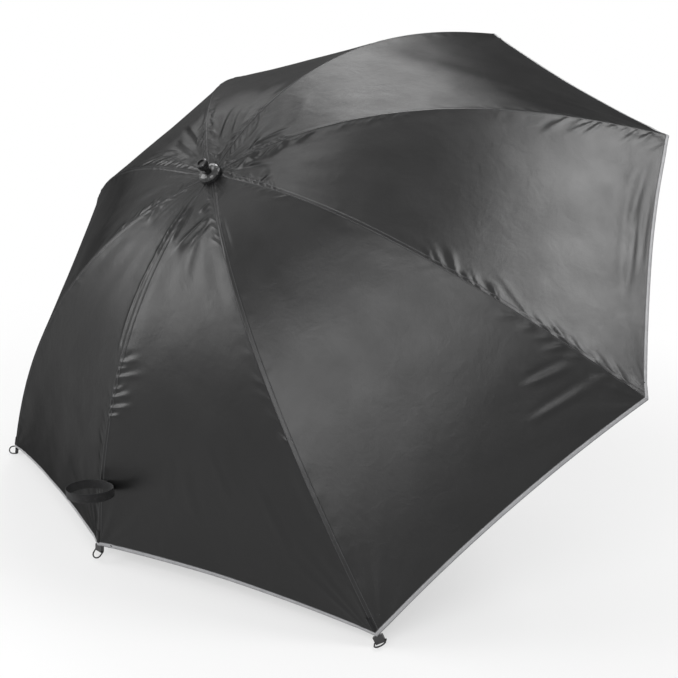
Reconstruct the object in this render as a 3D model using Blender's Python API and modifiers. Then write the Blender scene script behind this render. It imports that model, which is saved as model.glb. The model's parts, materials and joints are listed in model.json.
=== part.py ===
"""Flat-backed fishing umbrella, open, leaning over its short back rib.

It stands on the tip boots of its two back corners and on the spike of its pole.
The umbrella is modelled upright around its pole, with the crown at the origin,
and one empty then tilts it and sets it on the ground.
Spoke 1 is the short back rib, and the spokes run anticlockwise seen from above.
"""
import math

import bmesh
import bpy
from mathutils import Euler, Matrix, Vector

# Driving dimensions of the canopy, in metres and degrees
RIB_COUNT = 8
RIB_LENGTH = 1.27
BACK_RIB_LENGTH = 1.02
COVER_THICKNESS = 0.0015
SEAM_START_RADIUS = 0.035
SEAM_START_HEIGHT = -0.020
COVER_HOLE_RADIUS = 0.012
ROOT_SLOPE = -4.0
RIB_BEND = 92.5
RIB_EASE = 41.0
STANCE_TILT = 45.0
HEM_CUT_SHARE = 0.014
COVER_SAG_SHARE = 0.012

# Clearances and mesh fineness
TOUCH_GAP = 0.0003
CUT_OVERRUN = 0.002
MERGE_DISTANCE = 0.00005
ARC_STEPS = 60
ROUND_SEGMENTS = 20
SMALL_SEGMENTS = 12
HINGE_SEGMENTS = 8
DOME_STEPS = 6
ROD_BEVEL_RESOLUTION = 2
SMOOTH_ANGLE = 35.0

# Ribs, stretchers and their hinges
ROD_RADIUS = 0.003
PIN_RADIUS = 0.0036
PIN_LENGTH = 0.0114
SLOT_CLEARANCE = 0.0006
HINGE_RADIUS = 0.028
STRETCHER_ARC = 0.36
ROOT_BLEND_LENGTH = 0.10
ROOT_BLEND_SHARES = (0.35, 0.7)

# Crown and runner, which share their hinge disc
DISC_RADIUS = 0.034
DISC_HINGE_WALL = 0.0033
DISC_OPEN_SIDE = 0.0085
HUB_SLEEVE_RADIUS = 0.0185
CROWN_SLEEVE_LENGTH = 0.022
CROWN_SOCKET_DEPTH = 0.020
RUNNER_SLEEVE_LENGTH = 0.046
RUNNER_GRIP_RADIUS = 0.0235
RUNNER_GRIP_HEIGHT = 0.010
RUNNER_BOSS_RADIUS = 0.0075
RUNNER_BOSS_REACH = 0.027
RUNNER_BOSS_HEIGHT = 0.026

# Rib clips
CLIP_RADIUS = 0.00435
CLIP_LENGTH = 0.022
CLIP_WIDTH = 0.012
CLIP_EAR_DROP = 0.012
CLIP_EAR_WALL = 0.0026
CLIP_BORE_RADIUS = ROD_RADIUS + TOUCH_GAP

# Tip caps, tie tabs and tie rings
RIB_END_INSET = 0.020
CAP_LENGTH = 0.032
CAP_SOCKET_DEPTH = 0.0205
TAB_WIDTH = 0.025
TAB_THICKNESS = 0.010
TAB_REACH = 0.016
RING_ROD_RADIUS = 0.002
RING_HALF_WIDTH = 0.0155
RING_DEPTH = 0.023
RING_BOW_POINTS = 8
RING_HOLE_CLEARANCE = 0.0004

# Top cap and finial
TOP_CAP_RADIUS = 0.033
TOP_CAP_RIM = 0.004
TOP_CAP_HEIGHT = 0.021
STUD_RADIUS = 0.004
STUD_LENGTH = 0.030
NECK_RADIUS = 0.0085
NECK_HEIGHT = 0.010
KNOB_RADIUS = 0.0155
KNOB_HEIGHT = 0.019
KNOB_GROOVE_DEPTH = 0.0014
KNOB_DISH_RADIUS = 0.0098
KNOB_DISH_DEPTH = 0.0035
KNOB_BEVEL_SHARE = 0.1
KNOB_GROOVE_SHARES = ((0.33, 0.44), (0.67, 0.78))

# Poles
POLE_RADIUS = 0.0127
POLE_WALL = 0.0013
TILT_DEPTH = 0.82
INNER_POLE_RADIUS = 0.0110
INNER_POLE_WALL = 0.0012
INNER_POLE_HEADROOM = 0.0635
SPIKE_LENGTH = 0.110
SPIKE_FLANGE_RADIUS = 0.0150
SPIKE_FLANGE_HEIGHT = 0.005
SPIKE_SPIGOT_LENGTH = 0.025
SPIKE_TIP_RADIUS = 0.0015

# Tilt knuckle, its bolt and its knob
KNUCKLE_RADIUS = 0.0145
KNUCKLE_WIDTH = 0.029
TONGUE_WIDTH = 0.0124
KNUCKLE_NECK = 0.026
KNUCKLE_SLEEVE_RADIUS = 0.0175
KNUCKLE_SLEEVE_LENGTH = 0.038
KNUCKLE_SOCKET_DEPTH = 0.030
KNUCKLE_ARC_POINTS = 12
BOLT_RADIUS = 0.003
BOLT_HEAD_RADIUS = 0.0065
BOLT_HEAD_HEIGHT = 0.004
LOBE_COUNT = 5
LOBE_KNOB_RADIUS = 0.017
LOBE_DEPTH = 0.0022
LOBE_KNOB_THICKNESS = 0.012
LOBE_POINTS = 40
KNOB_SOCKET_DEPTH = 0.0095

# Clamp collar between the pole's two sections
COLLAR_RADIUS = 0.0185
COLLAR_SOCKET_DEPTH = 0.024
COLLAR_GUIDE_LENGTH = 0.020
COLLAR_BOSS_RADIUS = 0.0075
COLLAR_BOSS_REACH = 0.026

# Storage strap on the back seam, this share of the back rib's length from the seam's start
STRAP_PLACE_SHARE = 0.831
STRAP_WIDTH = 0.024
STRAP_THICKNESS = 0.0018
STRAP_LOOP_LENGTH = 0.126
STRAP_LOOP_HEIGHT = 0.116
STRAP_FOOT_LENGTH = 0.016
STRAP_FOOT_LAYERS = 2
STRAP_START = 0.007
STRAP_CLEARANCE = 0.0005
STRAP_POINTS = 24

# Rows of the cover: the inner ones as shares of the stretcher hinge's distance, so that the straight
# piece between the last two carries the rib clip, and the outer ones as shares of what is left
INNER_ROW_SHARES = (0.0, 0.16, 0.36, 0.60, 0.84, 1.16)
OUTER_ROW_SHARES = (0.17, 0.34, 0.51, 0.68, 0.82, 0.92, 1.0)

# Columns of the cover, as shares of a gore's width
COVER_COLUMN_SHARES = (0.0, 0.17, 0.34)

# Which spokes have a tie ring, and how far each ring lies out from its tab, in degrees
RING_SPOKES = {1: 42.0, 2: 82.0, 8: 82.0}


# Sizes worked out from the driving ones
BORE_RADIUS = POLE_RADIUS + TOUCH_GAP
POCKET_RADIUS = (PIN_RADIUS + TOUCH_GAP) / math.cos(math.pi / HINGE_SEGMENTS)
SLOT_WIDTH = 2 * ROD_RADIUS + 2 * SLOT_CLEARANCE
SLOT_RISE = POCKET_RADIUS + TOUCH_GAP
RIDGE_ANGLE = math.pi / RIB_COUNT
CROWN_TOP = SEAM_START_HEIGHT - COVER_THICKNESS - TOUCH_GAP
HINGE_HEIGHT = CROWN_TOP - SLOT_RISE - DISC_HINGE_WALL
BOOT_CORNER = CAP_SOCKET_DEPTH + RIB_END_INSET


def slope_at(arc):
    """How far a rib dips below the horizontal at this distance along its seam, in radians."""
    share = arc / RIB_LENGTH
    return math.radians(ROOT_SLOPE + RIB_BEND * share - RIB_EASE * share * share)


def seam_point(arc):
    """Radius and height of the seam over a rib, at this distance from the seam's start."""
    radius, height = SEAM_START_RADIUS, SEAM_START_HEIGHT
    step = arc / ARC_STEPS
    for index in range(ARC_STEPS):
        slope = slope_at((index + 0.5) * step)
        radius += step * math.cos(slope)
        height -= step * math.sin(slope)
    return radius, height


def rib_length(spoke):
    return BACK_RIB_LENGTH if spoke == 1 else RIB_LENGTH


def azimuth(spoke):
    return math.radians(90.0) + 2 * math.pi * (spoke - 1) / RIB_COUNT


def neighbour(spoke, side):
    return (spoke - 1 + side) % RIB_COUNT + 1


# The cover falls away on both sides of a seam, most of all at the tips
TIP_RIDGE = math.atan(math.tan(RIDGE_ANGLE) * math.sin(slope_at(RIB_LENGTH)))
RIB_SINK = COVER_THICKNESS + (CLIP_RADIUS + TOUCH_GAP) / math.cos(TIP_RIDGE)
ROOT_DROP = SEAM_START_HEIGHT - RIB_SINK - HINGE_HEIGHT


def rib_point(arc):
    """Radius and height of a rib's centre line: below the seam, and lower where it nears its hinge."""
    radius, height = seam_point(arc)
    slope = slope_at(arc)
    near = max(0.0, 1.0 - arc / ROOT_BLEND_LENGTH)
    sink = RIB_SINK + ROOT_DROP * near * near
    return radius - sink * math.sin(slope), height - sink * math.cos(slope)


def in_rib_frame(point):
    """A point in the plane of a rib, given as radius and height, seen from the rib's hinge."""
    return Vector((point[0] - HINGE_RADIUS, 0.0, point[1] - HINGE_HEIGHT))


def row_arcs(length):
    """Where the cover's rows cross the seam of a rib of this length."""
    inner = [share * STRETCHER_ARC for share in INNER_ROW_SHARES]
    return inner + [inner[-1] + share * (length - inner[-1]) for share in OUTER_ROW_SHARES]


def straight_piece(start_arc, end_arc):
    """The straight piece of rib between two rows: its two ends and how far it dips."""
    start, end = in_rib_frame(rib_point(start_arc)), in_rib_frame(rib_point(end_arc))
    return start, end, math.atan2(start.z - end.z, end.x - start.x)


# The stretcher hinge hangs below the rib. The stretcher is as long as the line from the rib's hinge
# to it, so the runner's hinge stays straight below the rib's at every stage of folding.
CLIP_START, CLIP_END, CLIP_SLOPE = straight_piece(
    STRETCHER_ARC * INNER_ROW_SHARES[-2], STRETCHER_ARC * INNER_ROW_SHARES[-1]
)
CLIP_CENTRE = (CLIP_START + CLIP_END) / 2
STRETCHER_PIVOT = CLIP_CENTRE - CLIP_EAR_DROP * Vector((math.sin(CLIP_SLOPE), 0.0, math.cos(CLIP_SLOPE)))
RUNNER_HINGE_HEIGHT = HINGE_HEIGHT + 2 * STRETCHER_PIVOT.z


def clear_scene():
    for item in list(bpy.data.objects):
        bpy.data.objects.remove(item, do_unlink=True)


def new_collection(name):
    collection = bpy.data.collections.new(name)
    bpy.context.scene.collection.children.link(collection)
    return collection


clear_scene()
PARTS = new_collection("fishing_umbrella")
GUIDES = new_collection("guides_and_cutters")


def material(name, colour, roughness, metallic=0.0):
    surface = bpy.data.materials.new(name)
    surface.use_nodes = True
    shader = surface.node_tree.nodes["Principled BSDF"]
    shader.inputs["Base Color"].default_value = (*colour, 1.0)
    shader.inputs["Roughness"].default_value = roughness
    shader.inputs["Metallic"].default_value = metallic
    surface.diffuse_color = (*colour, 1.0)
    return surface


COATED_CLOTH = material("coated_cloth", (0.045, 0.046, 0.050), 0.42)
BLACK_NYLON = material("black_nylon", (0.020, 0.020, 0.022), 0.45)
GLOSS_BLACK = material("gloss_black", (0.012, 0.012, 0.013), 0.12)
BLACK_STEEL = material("black_steel", (0.050, 0.050, 0.055), 0.35, 0.6)
FIBREGLASS = material("dark_fibreglass", (0.035, 0.035, 0.038), 0.40)
ALUMINIUM = material("grey_aluminium", (0.36, 0.37, 0.39), 0.32, 1.0)
WEBBING = material("black_webbing", (0.016, 0.016, 0.018), 0.85)


def temporary(mesh, matrix=None):
    """A guide object that lasts only until its mesh has been used."""
    item = bpy.data.objects.new("guide", mesh)
    item.hide_render = True
    item.display_type = "WIRE"
    if matrix is not None:
        item.matrix_world = matrix
    GUIDES.objects.link(item)
    return item


def evaluated(item):
    """The mesh of an object as its modifiers leave it, with loose caps welded on."""
    bpy.context.view_layer.update()
    graph = bpy.context.evaluated_depsgraph_get()
    mesh = bpy.data.meshes.new_from_object(item.evaluated_get(graph))
    shape = bmesh.new()
    shape.from_mesh(mesh)
    bmesh.ops.remove_doubles(shape, verts=shape.verts, dist=MERGE_DISTANCE)
    shape.to_mesh(mesh)
    shape.free()
    return mesh


def combine(base, joined=(), cut=()):
    """One solid: the base with the joined solids added, and then the cut ones taken away."""
    body = temporary(base)
    tools = [(mesh, "UNION") for mesh in joined] + [(mesh, "DIFFERENCE") for mesh in cut]
    helpers = []
    for mesh, operation in tools:
        helper = temporary(mesh)
        helpers.append(helper)
        boolean = body.modifiers.new(operation.lower(), "BOOLEAN")
        boolean.operation = operation
        boolean.solver = "EXACT"
        boolean.object = helper
    result = evaluated(body)
    for item in [body, *helpers]:
        bpy.data.objects.remove(item, do_unlink=True)
    return result


def box(low, high):
    """A box between two opposite corners."""
    low, high = Vector(low), Vector(high)
    mesh = bpy.data.meshes.new("box")
    shape = bmesh.new()
    bmesh.ops.create_cube(shape, size=1.0)
    size = high - low
    bmesh.ops.scale(shape, verts=shape.verts, vec=size)
    bmesh.ops.translate(shape, verts=shape.verts, vec=(low + high) / 2)
    shape.to_mesh(mesh)
    shape.free()
    return mesh


AXIS_TURNS = {
    "X": Matrix.Rotation(math.pi / 2, 4, "Y"),
    "Y": Matrix.Rotation(-math.pi / 2, 4, "X"),
    "Z": Matrix.Identity(4),
}


def cylinder(radius, start, end, axis="Z", centre=(0.0, 0.0, 0.0), segments=SMALL_SEGMENTS):
    """A cylinder along an axis through a point, from one distance along that axis to another."""
    mesh = bpy.data.meshes.new("cylinder")
    shape = bmesh.new()
    bmesh.ops.create_cone(
        shape, cap_ends=True, segments=segments, radius1=radius, radius2=radius, depth=end - start
    )
    along = Vector((0.0, 0.0, (start + end) / 2))
    bmesh.ops.translate(shape, verts=shape.verts, vec=along)
    bmesh.ops.transform(shape, matrix=AXIS_TURNS[axis], verts=shape.verts)
    bmesh.ops.translate(shape, verts=shape.verts, vec=Vector(centre))
    shape.to_mesh(mesh)
    shape.free()
    return mesh


def turned(profile, closed=False, segments=ROUND_SEGMENTS):
    """A turned solid. The profile runs down its outer side, and a closed one leaves a bore."""
    mesh = bpy.data.meshes.new("profile")
    edges = [(index, index + 1) for index in range(len(profile) - 1)]
    if closed:
        edges.append((len(profile) - 1, 0))
    mesh.from_pydata([(radius, 0.0, height) for radius, height in profile], edges, [])
    item = temporary(mesh)
    screw = item.modifiers.new("turn", "SCREW")
    screw.steps = segments
    screw.render_steps = segments
    screw.use_merge_vertices = True
    screw.merge_threshold = MERGE_DISTANCE
    result = evaluated(item)
    bpy.data.objects.remove(item, do_unlink=True)
    return result


def tube(outer, wall, top, bottom):
    inner = outer - wall
    return turned([(outer, top), (outer, bottom), (inner, bottom), (inner, top)], closed=True)


def rod(points, radius, cyclic=False):
    """A round rod along its points."""
    curve = bpy.data.curves.new("rod", "CURVE")
    curve.dimensions = "3D"
    curve.bevel_depth = radius
    curve.bevel_resolution = ROD_BEVEL_RESOLUTION
    curve.use_fill_caps = not cyclic
    spline = curve.splines.new("POLY")
    spline.points.add(len(points) - 1)
    for knot, place in zip(spline.points, points):
        knot.co = (*place, 1.0)
    spline.use_cyclic_u = cyclic
    item = bpy.data.objects.new("rod", curve)
    GUIDES.objects.link(item)
    result = evaluated(item)
    bpy.data.objects.remove(item, do_unlink=True)
    return result


def plate(outlines, half_thickness):
    """A flat plate from closed outlines in the XY plane, an inner outline being a hole."""
    curve = bpy.data.curves.new("plate", "CURVE")
    curve.dimensions = "2D"
    curve.fill_mode = "BOTH"
    curve.extrude = half_thickness
    for outline in outlines:
        spline = curve.splines.new("POLY")
        spline.points.add(len(outline) - 1)
        for knot, (x, y) in zip(spline.points, outline):
            knot.co = (x, y, 0.0, 1.0)
        spline.use_cyclic_u = True
    item = bpy.data.objects.new("plate", curve)
    GUIDES.objects.link(item)
    result = evaluated(item)
    bpy.data.objects.remove(item, do_unlink=True)
    return result


def moved(mesh, matrix):
    mesh.transform(matrix)
    return mesh


def axis_empty(name, parent, location, turn=(0.0, 0.0, 0.0)):
    """An empty on a joint's axis, which carries the pieces that move with it."""
    item = bpy.data.objects.new(name, None)
    item.empty_display_size = HINGE_RADIUS
    GUIDES.objects.link(item)
    item.parent = parent
    item.location = location
    item.rotation_euler = Euler(turn)
    return item


def piece(name, mesh, parent, surface, location=(0.0, 0.0, 0.0), turn=(0.0, 0.0, 0.0)):
    """A named sub-part, placed on the empty that carries it."""
    mesh = mesh.copy()
    mesh.name = name
    mesh.materials.clear()
    mesh.materials.append(surface)
    mesh.shade_smooth()
    mesh.set_sharp_from_angle(angle=math.radians(SMOOTH_ANGLE))
    item = bpy.data.objects.new(name, mesh)
    PARTS.objects.link(item)
    item.parent = parent
    item.location = location
    item.rotation_euler = Euler(turn)
    return item


def seam_vector(spoke, arc):
    radius, height = seam_point(arc)
    angle = azimuth(spoke)
    return Vector((radius * math.cos(angle), radius * math.sin(angle), height))


def seam_normal(spoke, arc):
    slope, angle = slope_at(arc), azimuth(spoke)
    outward = math.sin(slope)
    return Vector((outward * math.cos(angle), outward * math.sin(angle), math.cos(slope)))


def cover_point(spoke, side, across, row):
    """A point of the cover's outer face on one of its rows, part of the way towards the next seam.

    The cover runs straight from seam to seam, sags a little in between, and its hem is cut
    a little hollow.
    """
    other = neighbour(spoke, side)
    bow = 4 * across * (1 - across)
    near_arc, far_arc = row_arcs(rib_length(spoke))[row], row_arcs(rib_length(other))[row]
    share = (near_arc / rib_length(spoke) + far_arc / rib_length(other)) / 2
    cut = 1 - HEM_CUT_SHARE * bow
    near, far = seam_vector(spoke, cut * near_arc), seam_vector(other, cut * far_arc)
    normal = seam_normal(spoke, cut * near_arc) + seam_normal(other, cut * far_arc)
    sag = COVER_SAG_SHARE * bow * share * (far - near).length
    return near.lerp(far, across) - sag * normal.normalized()


def hub_row_point(spoke, side, across):
    """The same, on the edge of the hole for the finial's stud."""
    near, far = azimuth(spoke), azimuth(neighbour(spoke, side))
    start = Vector((math.cos(near), math.sin(near), 0.0))
    end = Vector((math.cos(far), math.sin(far), 0.0))
    return start.lerp(end, across) * COVER_HOLE_RADIUS + Vector((0.0, 0.0, SEAM_START_HEIGHT))


def spoke_matrix(spoke):
    """From the umbrella's frame to a rib's hinge frame."""
    place = Matrix.Rotation(azimuth(spoke), 4, "Z") @ Matrix.Translation((HINGE_RADIUS, 0.0, HINGE_HEIGHT))
    return place.inverted()


def cover_mesh(spoke):
    """The outer face of the two half gores that are sewn together over one rib."""
    to_rib = spoke_matrix(spoke)
    shape = bmesh.new()
    rows = []
    for index in range(-1, len(row_arcs(RIB_LENGTH))):
        row = []
        for side in (-1, 1):

            def place(across):
                if index < 0:
                    return hub_row_point(spoke, side, across)
                return cover_point(spoke, side, across, index)

            last = 0.5 - TOUCH_GAP / 2 / (place(1.0) - place(0.0)).length
            columns = [*COVER_COLUMN_SHARES, last]
            if side < 0:
                columns = list(reversed(columns[1:]))
            row += [shape.verts.new(to_rib @ place(across)) for across in columns]
        rows.append(row)
    for inner, outer in zip(rows, rows[1:]):
        for column in range(len(inner) - 1):
            shape.faces.new((inner[column], outer[column], outer[column + 1], inner[column + 1]))
    mesh = bpy.data.meshes.new("cover")
    shape.to_mesh(mesh)
    shape.free()
    return mesh


def pin(centre):
    half = PIN_LENGTH / 2
    return cylinder(PIN_RADIUS, -half, half, "Y", centre, HINGE_SEGMENTS)


def rib_end(length):
    """The inset end of a rib, and how far its last piece dips."""
    last_row, tip = row_arcs(length)[-2:]
    start, end, slope = straight_piece(last_row, tip)
    return start.lerp(end, 1 - RIB_END_INSET / (end - start).length), slope


def rib_mesh(length):
    """A bowed rod from the hinge pin in the crown to its inset end, with its bends under the rows."""
    arcs = [ROOT_BLEND_LENGTH * share for share in ROOT_BLEND_SHARES]
    arcs += [arc for arc in row_arcs(length)[:-1] if arc > ROOT_BLEND_LENGTH]
    points = [Vector((0.0, 0.0, 0.0)), *[in_rib_frame(rib_point(arc)) for arc in arcs], rib_end(length)[0]]
    return combine(rod(points, ROD_RADIUS), joined=[pin((0.0, 0.0, 0.0))])


def stretcher_mesh():
    """A straight rod from the hinge on the rib to the one on the runner, seen from the former."""
    end = Vector((-STRETCHER_PIVOT.x, 0.0, STRETCHER_PIVOT.z))
    return combine(rod([Vector((0.0, 0.0, 0.0)), end], ROD_RADIUS), joined=[pin((0.0, 0.0, 0.0)), pin(end)])


def clip_mesh():
    """A clip round the rib, with two ears below that hold the stretcher's pin."""
    half_length, half_width = CLIP_LENGTH / 2, CLIP_WIDTH / 2
    bottom = -CLIP_EAR_DROP - POCKET_RADIUS - CLIP_EAR_WALL
    slot_top = -CLIP_EAR_DROP + SLOT_RISE
    grip = cylinder(CLIP_RADIUS, -half_length, half_length, "X")
    ears = box((-half_length, -half_width, bottom), (half_length, half_width, 0.0))
    long_half = half_length + CUT_OVERRUN
    slot = box((-long_half, -SLOT_WIDTH / 2, bottom - CUT_OVERRUN), (long_half, SLOT_WIDTH / 2, slot_top))
    bore = cylinder(CLIP_BORE_RADIUS, -long_half, long_half, "X")
    reach = half_width + CUT_OVERRUN
    pocket = cylinder(POCKET_RADIUS, -reach, reach, "Y", (0.0, 0.0, -CLIP_EAR_DROP), HINGE_SEGMENTS)
    return combine(grip, joined=[ears], cut=[slot, bore, pocket])


def hinge_disc_cuts(height, direction):
    """The slots and pin pockets for all the spokes, in a disc that is open above (1) or below (-1)."""
    cuts = []
    half = PIN_LENGTH / 2 + TOUCH_GAP
    for spoke in range(1, RIB_COUNT + 1):
        turn = Matrix.Rotation(azimuth(spoke), 4, "Z")
        closed_end = height - direction * SLOT_RISE
        open_end = height + direction * (DISC_OPEN_SIDE + CUT_OVERRUN)
        low, high = min(closed_end, open_end), max(closed_end, open_end)
        slot = box(
            (HINGE_RADIUS - SLOT_RISE, -SLOT_WIDTH / 2, low),
            (DISC_RADIUS + CUT_OVERRUN, SLOT_WIDTH / 2, high),
        )
        pocket = cylinder(POCKET_RADIUS, -half, half, "Y", (HINGE_RADIUS, 0.0, height), HINGE_SEGMENTS)
        cuts += [moved(slot, turn), moved(pocket, turn)]
    return cuts


def screw_boss(radius, reach, tube_radius, height):
    """A boss on the side of a sleeve, out along X, and the hole for its screw."""
    place = (0.0, 0.0, height)
    boss = cylinder(radius, tube_radius + POLE_WALL, reach, "X", place)
    hole = cylinder(BOLT_RADIUS + TOUCH_GAP, 0.0, reach + CUT_OVERRUN, "X", place)
    return boss, hole


def crown_mesh():
    """The top notch: a disc with the rib hinges over a sleeve that takes the pole."""
    disc_bottom = HINGE_HEIGHT - DISC_OPEN_SIDE
    bottom = disc_bottom - CROWN_SLEEVE_LENGTH
    socket_top = bottom + CROWN_SOCKET_DEPTH
    stud_bore = STUD_RADIUS + TOUCH_GAP
    profile = [
        (DISC_RADIUS, CROWN_TOP),
        (DISC_RADIUS, disc_bottom),
        (HUB_SLEEVE_RADIUS, disc_bottom),
        (HUB_SLEEVE_RADIUS, bottom),
        (BORE_RADIUS, bottom),
        (BORE_RADIUS, socket_top),
        (stud_bore, socket_top),
        (stud_bore, CROWN_TOP),
    ]
    return combine(turned(profile, closed=True), cut=hinge_disc_cuts(HINGE_HEIGHT, -1)), socket_top


def runner_mesh():
    """The sliding runner: the same hinge disc, open above, over a sleeve with a grip and a boss."""
    top = RUNNER_HINGE_HEIGHT + DISC_OPEN_SIDE
    disc_bottom = RUNNER_HINGE_HEIGHT - SLOT_RISE - DISC_HINGE_WALL
    bottom = disc_bottom - RUNNER_SLEEVE_LENGTH
    profile = [
        (DISC_RADIUS, top),
        (DISC_RADIUS, disc_bottom),
        (HUB_SLEEVE_RADIUS, disc_bottom),
        (HUB_SLEEVE_RADIUS, bottom + RUNNER_GRIP_HEIGHT),
        (RUNNER_GRIP_RADIUS, bottom + RUNNER_GRIP_HEIGHT),
        (RUNNER_GRIP_RADIUS, bottom),
        (BORE_RADIUS, bottom),
        (BORE_RADIUS, top),
    ]
    screw_height = bottom + RUNNER_BOSS_HEIGHT
    boss, hole = screw_boss(RUNNER_BOSS_RADIUS, RUNNER_BOSS_REACH, POLE_RADIUS, screw_height)
    cuts = [*hinge_disc_cuts(RUNNER_HINGE_HEIGHT, 1), hole]
    return combine(turned(profile, closed=True), joined=[boss], cut=cuts), screw_height


def cap_mesh():
    """A cup over the rib's end, along X from its mouth."""
    solid = cylinder(CLIP_RADIUS, 0.0, CAP_LENGTH, "X")
    bore = cylinder(CLIP_BORE_RADIUS, -CUT_OVERRUN, CAP_SOCKET_DEPTH, "X")
    return combine(solid, cut=[bore])


def boot_mesh(corner):
    """The cup with a tie tab beyond the cover's corner, and a hole across it for the tie ring."""
    ring_axis = corner + TAB_REACH
    half_width, half_thickness = TAB_WIDTH / 2, TAB_THICKNESS / 2
    hole_radius = RING_ROD_RADIUS + RING_HOLE_CLEARANCE
    cup = cylinder(CLIP_RADIUS, 0.0, corner + CUT_OVERRUN, "X")
    tab = box((corner + TOUCH_GAP, -half_width, -half_thickness), (ring_axis, half_width, half_thickness))
    end = cylinder(half_thickness, -half_width, half_width, "Y", (ring_axis, 0.0, 0.0), ROUND_SEGMENTS)
    bore = cylinder(CLIP_BORE_RADIUS, -CUT_OVERRUN, CAP_SOCKET_DEPTH, "X")
    reach = half_width + CUT_OVERRUN
    hole = cylinder(hole_radius, -reach, reach, "Y", (ring_axis, 0.0, 0.0))
    return combine(cup, joined=[tab, end], cut=[bore, hole])


def ring_mesh():
    """A D-shaped ring whose straight bar lies on its hinge axis, Y, and whose bow reaches along X."""
    points = [(0.0, -RING_HALF_WIDTH, 0.0)]
    for step in range(RING_BOW_POINTS + 1):
        angle = math.pi * step / RING_BOW_POINTS
        squareness = math.sqrt(math.sin(angle)) if 0 < step < RING_BOW_POINTS else 0.0
        if squareness:
            points.append((RING_DEPTH * squareness, -RING_HALF_WIDTH * math.cos(angle), 0.0))
    points.append((0.0, RING_HALF_WIDTH, 0.0))
    return rod(points, RING_ROD_RADIUS, cyclic=True)


def top_cap_mesh():
    """A low dome with a rim, bored for the finial's stud."""
    bottom = SEAM_START_HEIGHT + TOUCH_GAP
    dome_start = bottom + TOP_CAP_RIM
    dome_height = TOP_CAP_HEIGHT - TOP_CAP_RIM
    flat = NECK_RADIUS + 2 * TOUCH_GAP
    dome = []
    for step in range(DOME_STEPS + 1):
        angle = math.pi / 2 * step / DOME_STEPS
        radius = flat + (TOP_CAP_RADIUS - flat) * math.sin(angle)
        dome.append((radius, dome_start + dome_height * math.cos(angle)))
    bore = STUD_RADIUS + TOUCH_GAP
    profile = [*dome, (TOP_CAP_RADIUS, bottom), (bore, bottom), (bore, dome_start + dome_height)]
    return turned(profile, closed=True), dome_start + dome_height


def finial_mesh(cap_top):
    """A stud, a neck and a grooved knob with a dished top."""
    bottom = cap_top + TOUCH_GAP
    knob_bottom = bottom + NECK_HEIGHT
    knob_top = knob_bottom + KNOB_HEIGHT
    bevel = KNOB_BEVEL_SHARE * KNOB_HEIGHT
    profile = [
        (0.0, knob_top - KNOB_DISH_DEPTH),
        (KNOB_DISH_RADIUS, knob_top - KNOB_DISH_DEPTH),
        (KNOB_DISH_RADIUS, knob_top),
        (KNOB_RADIUS - bevel, knob_top),
        (KNOB_RADIUS, knob_top - bevel),
    ]
    for upper, lower in KNOB_GROOVE_SHARES:
        profile += [
            (KNOB_RADIUS, knob_top - upper * KNOB_HEIGHT),
            (KNOB_RADIUS - KNOB_GROOVE_DEPTH, knob_top - upper * KNOB_HEIGHT),
            (KNOB_RADIUS - KNOB_GROOVE_DEPTH, knob_top - lower * KNOB_HEIGHT),
            (KNOB_RADIUS, knob_top - lower * KNOB_HEIGHT),
        ]
    profile += [
        (KNOB_RADIUS - bevel, knob_bottom),
        (NECK_RADIUS, knob_bottom),
        (NECK_RADIUS, bottom),
        (STUD_RADIUS, bottom),
        (STUD_RADIUS, bottom - STUD_LENGTH),
        (0.0, bottom - STUD_LENGTH),
    ]
    return turned(profile)


def knuckle_sleeve(direction):
    """A sleeve with its closed end towards the tilt axis, above it (1) or below it (-1)."""
    near, far = KNUCKLE_NECK - 2 * CUT_OVERRUN, KNUCKLE_NECK + KNUCKLE_SLEEVE_LENGTH
    low, high = sorted((direction * near, direction * far))
    return cylinder(KNUCKLE_SLEEVE_RADIUS, low, high, segments=ROUND_SEGMENTS)


def knuckle_socket(direction):
    mouth = KNUCKLE_NECK + KNUCKLE_SLEEVE_LENGTH
    low, high = sorted((direction * (mouth - KNUCKLE_SOCKET_DEPTH), direction * (mouth + CUT_OVERRUN)))
    return cylinder(BORE_RADIUS, low, high, segments=ROUND_SEGMENTS)


def bolt_hole():
    reach = KNUCKLE_WIDTH / 2 + CUT_OVERRUN
    return cylinder(BOLT_RADIUS + TOUCH_GAP, -reach, reach, "X")


def knuckle_eye(half_width, direction):
    """A plate across the tilt axis: round about it, and straight up (1) or down (-1) to the sleeve."""
    outline = []
    for step in range(KNUCKLE_ARC_POINTS + 1):
        angle = math.pi * (1 + step / KNUCKLE_ARC_POINTS)
        across, along = math.cos(angle), math.sin(angle)
        outline.append((direction * KNUCKLE_RADIUS * along, direction * KNUCKLE_RADIUS * across))
    outline += [(direction * KNUCKLE_NECK, side * KNUCKLE_RADIUS) for side in (direction, -direction)]
    lying = Matrix(((0, 0, 1), (0, 1, 0), (1, 0, 0))).to_4x4()
    mesh = plate([outline], half_width)
    mesh.transform(lying)
    mesh.flip_normals()
    return mesh


def upper_knuckle_mesh():
    """The fork of the tilt knuckle, seen from the tilt axis."""
    slot_half = TONGUE_WIDTH / 2 + TOUCH_GAP
    slot = box(
        (-slot_half, -KNUCKLE_WIDTH, -KNUCKLE_WIDTH),
        (slot_half, KNUCKLE_WIDTH, KNUCKLE_RADIUS + CUT_OVERRUN),
    )
    fork = knuckle_eye(KNUCKLE_WIDTH / 2, 1)
    return combine(fork, joined=[knuckle_sleeve(1)], cut=[slot, knuckle_socket(1), bolt_hole()])


def lower_knuckle_mesh():
    """The tongue of the tilt knuckle, seen from the tilt axis."""
    tongue = knuckle_eye(TONGUE_WIDTH / 2, -1)
    return combine(tongue, joined=[knuckle_sleeve(-1)], cut=[knuckle_socket(-1), bolt_hole()])


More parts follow.
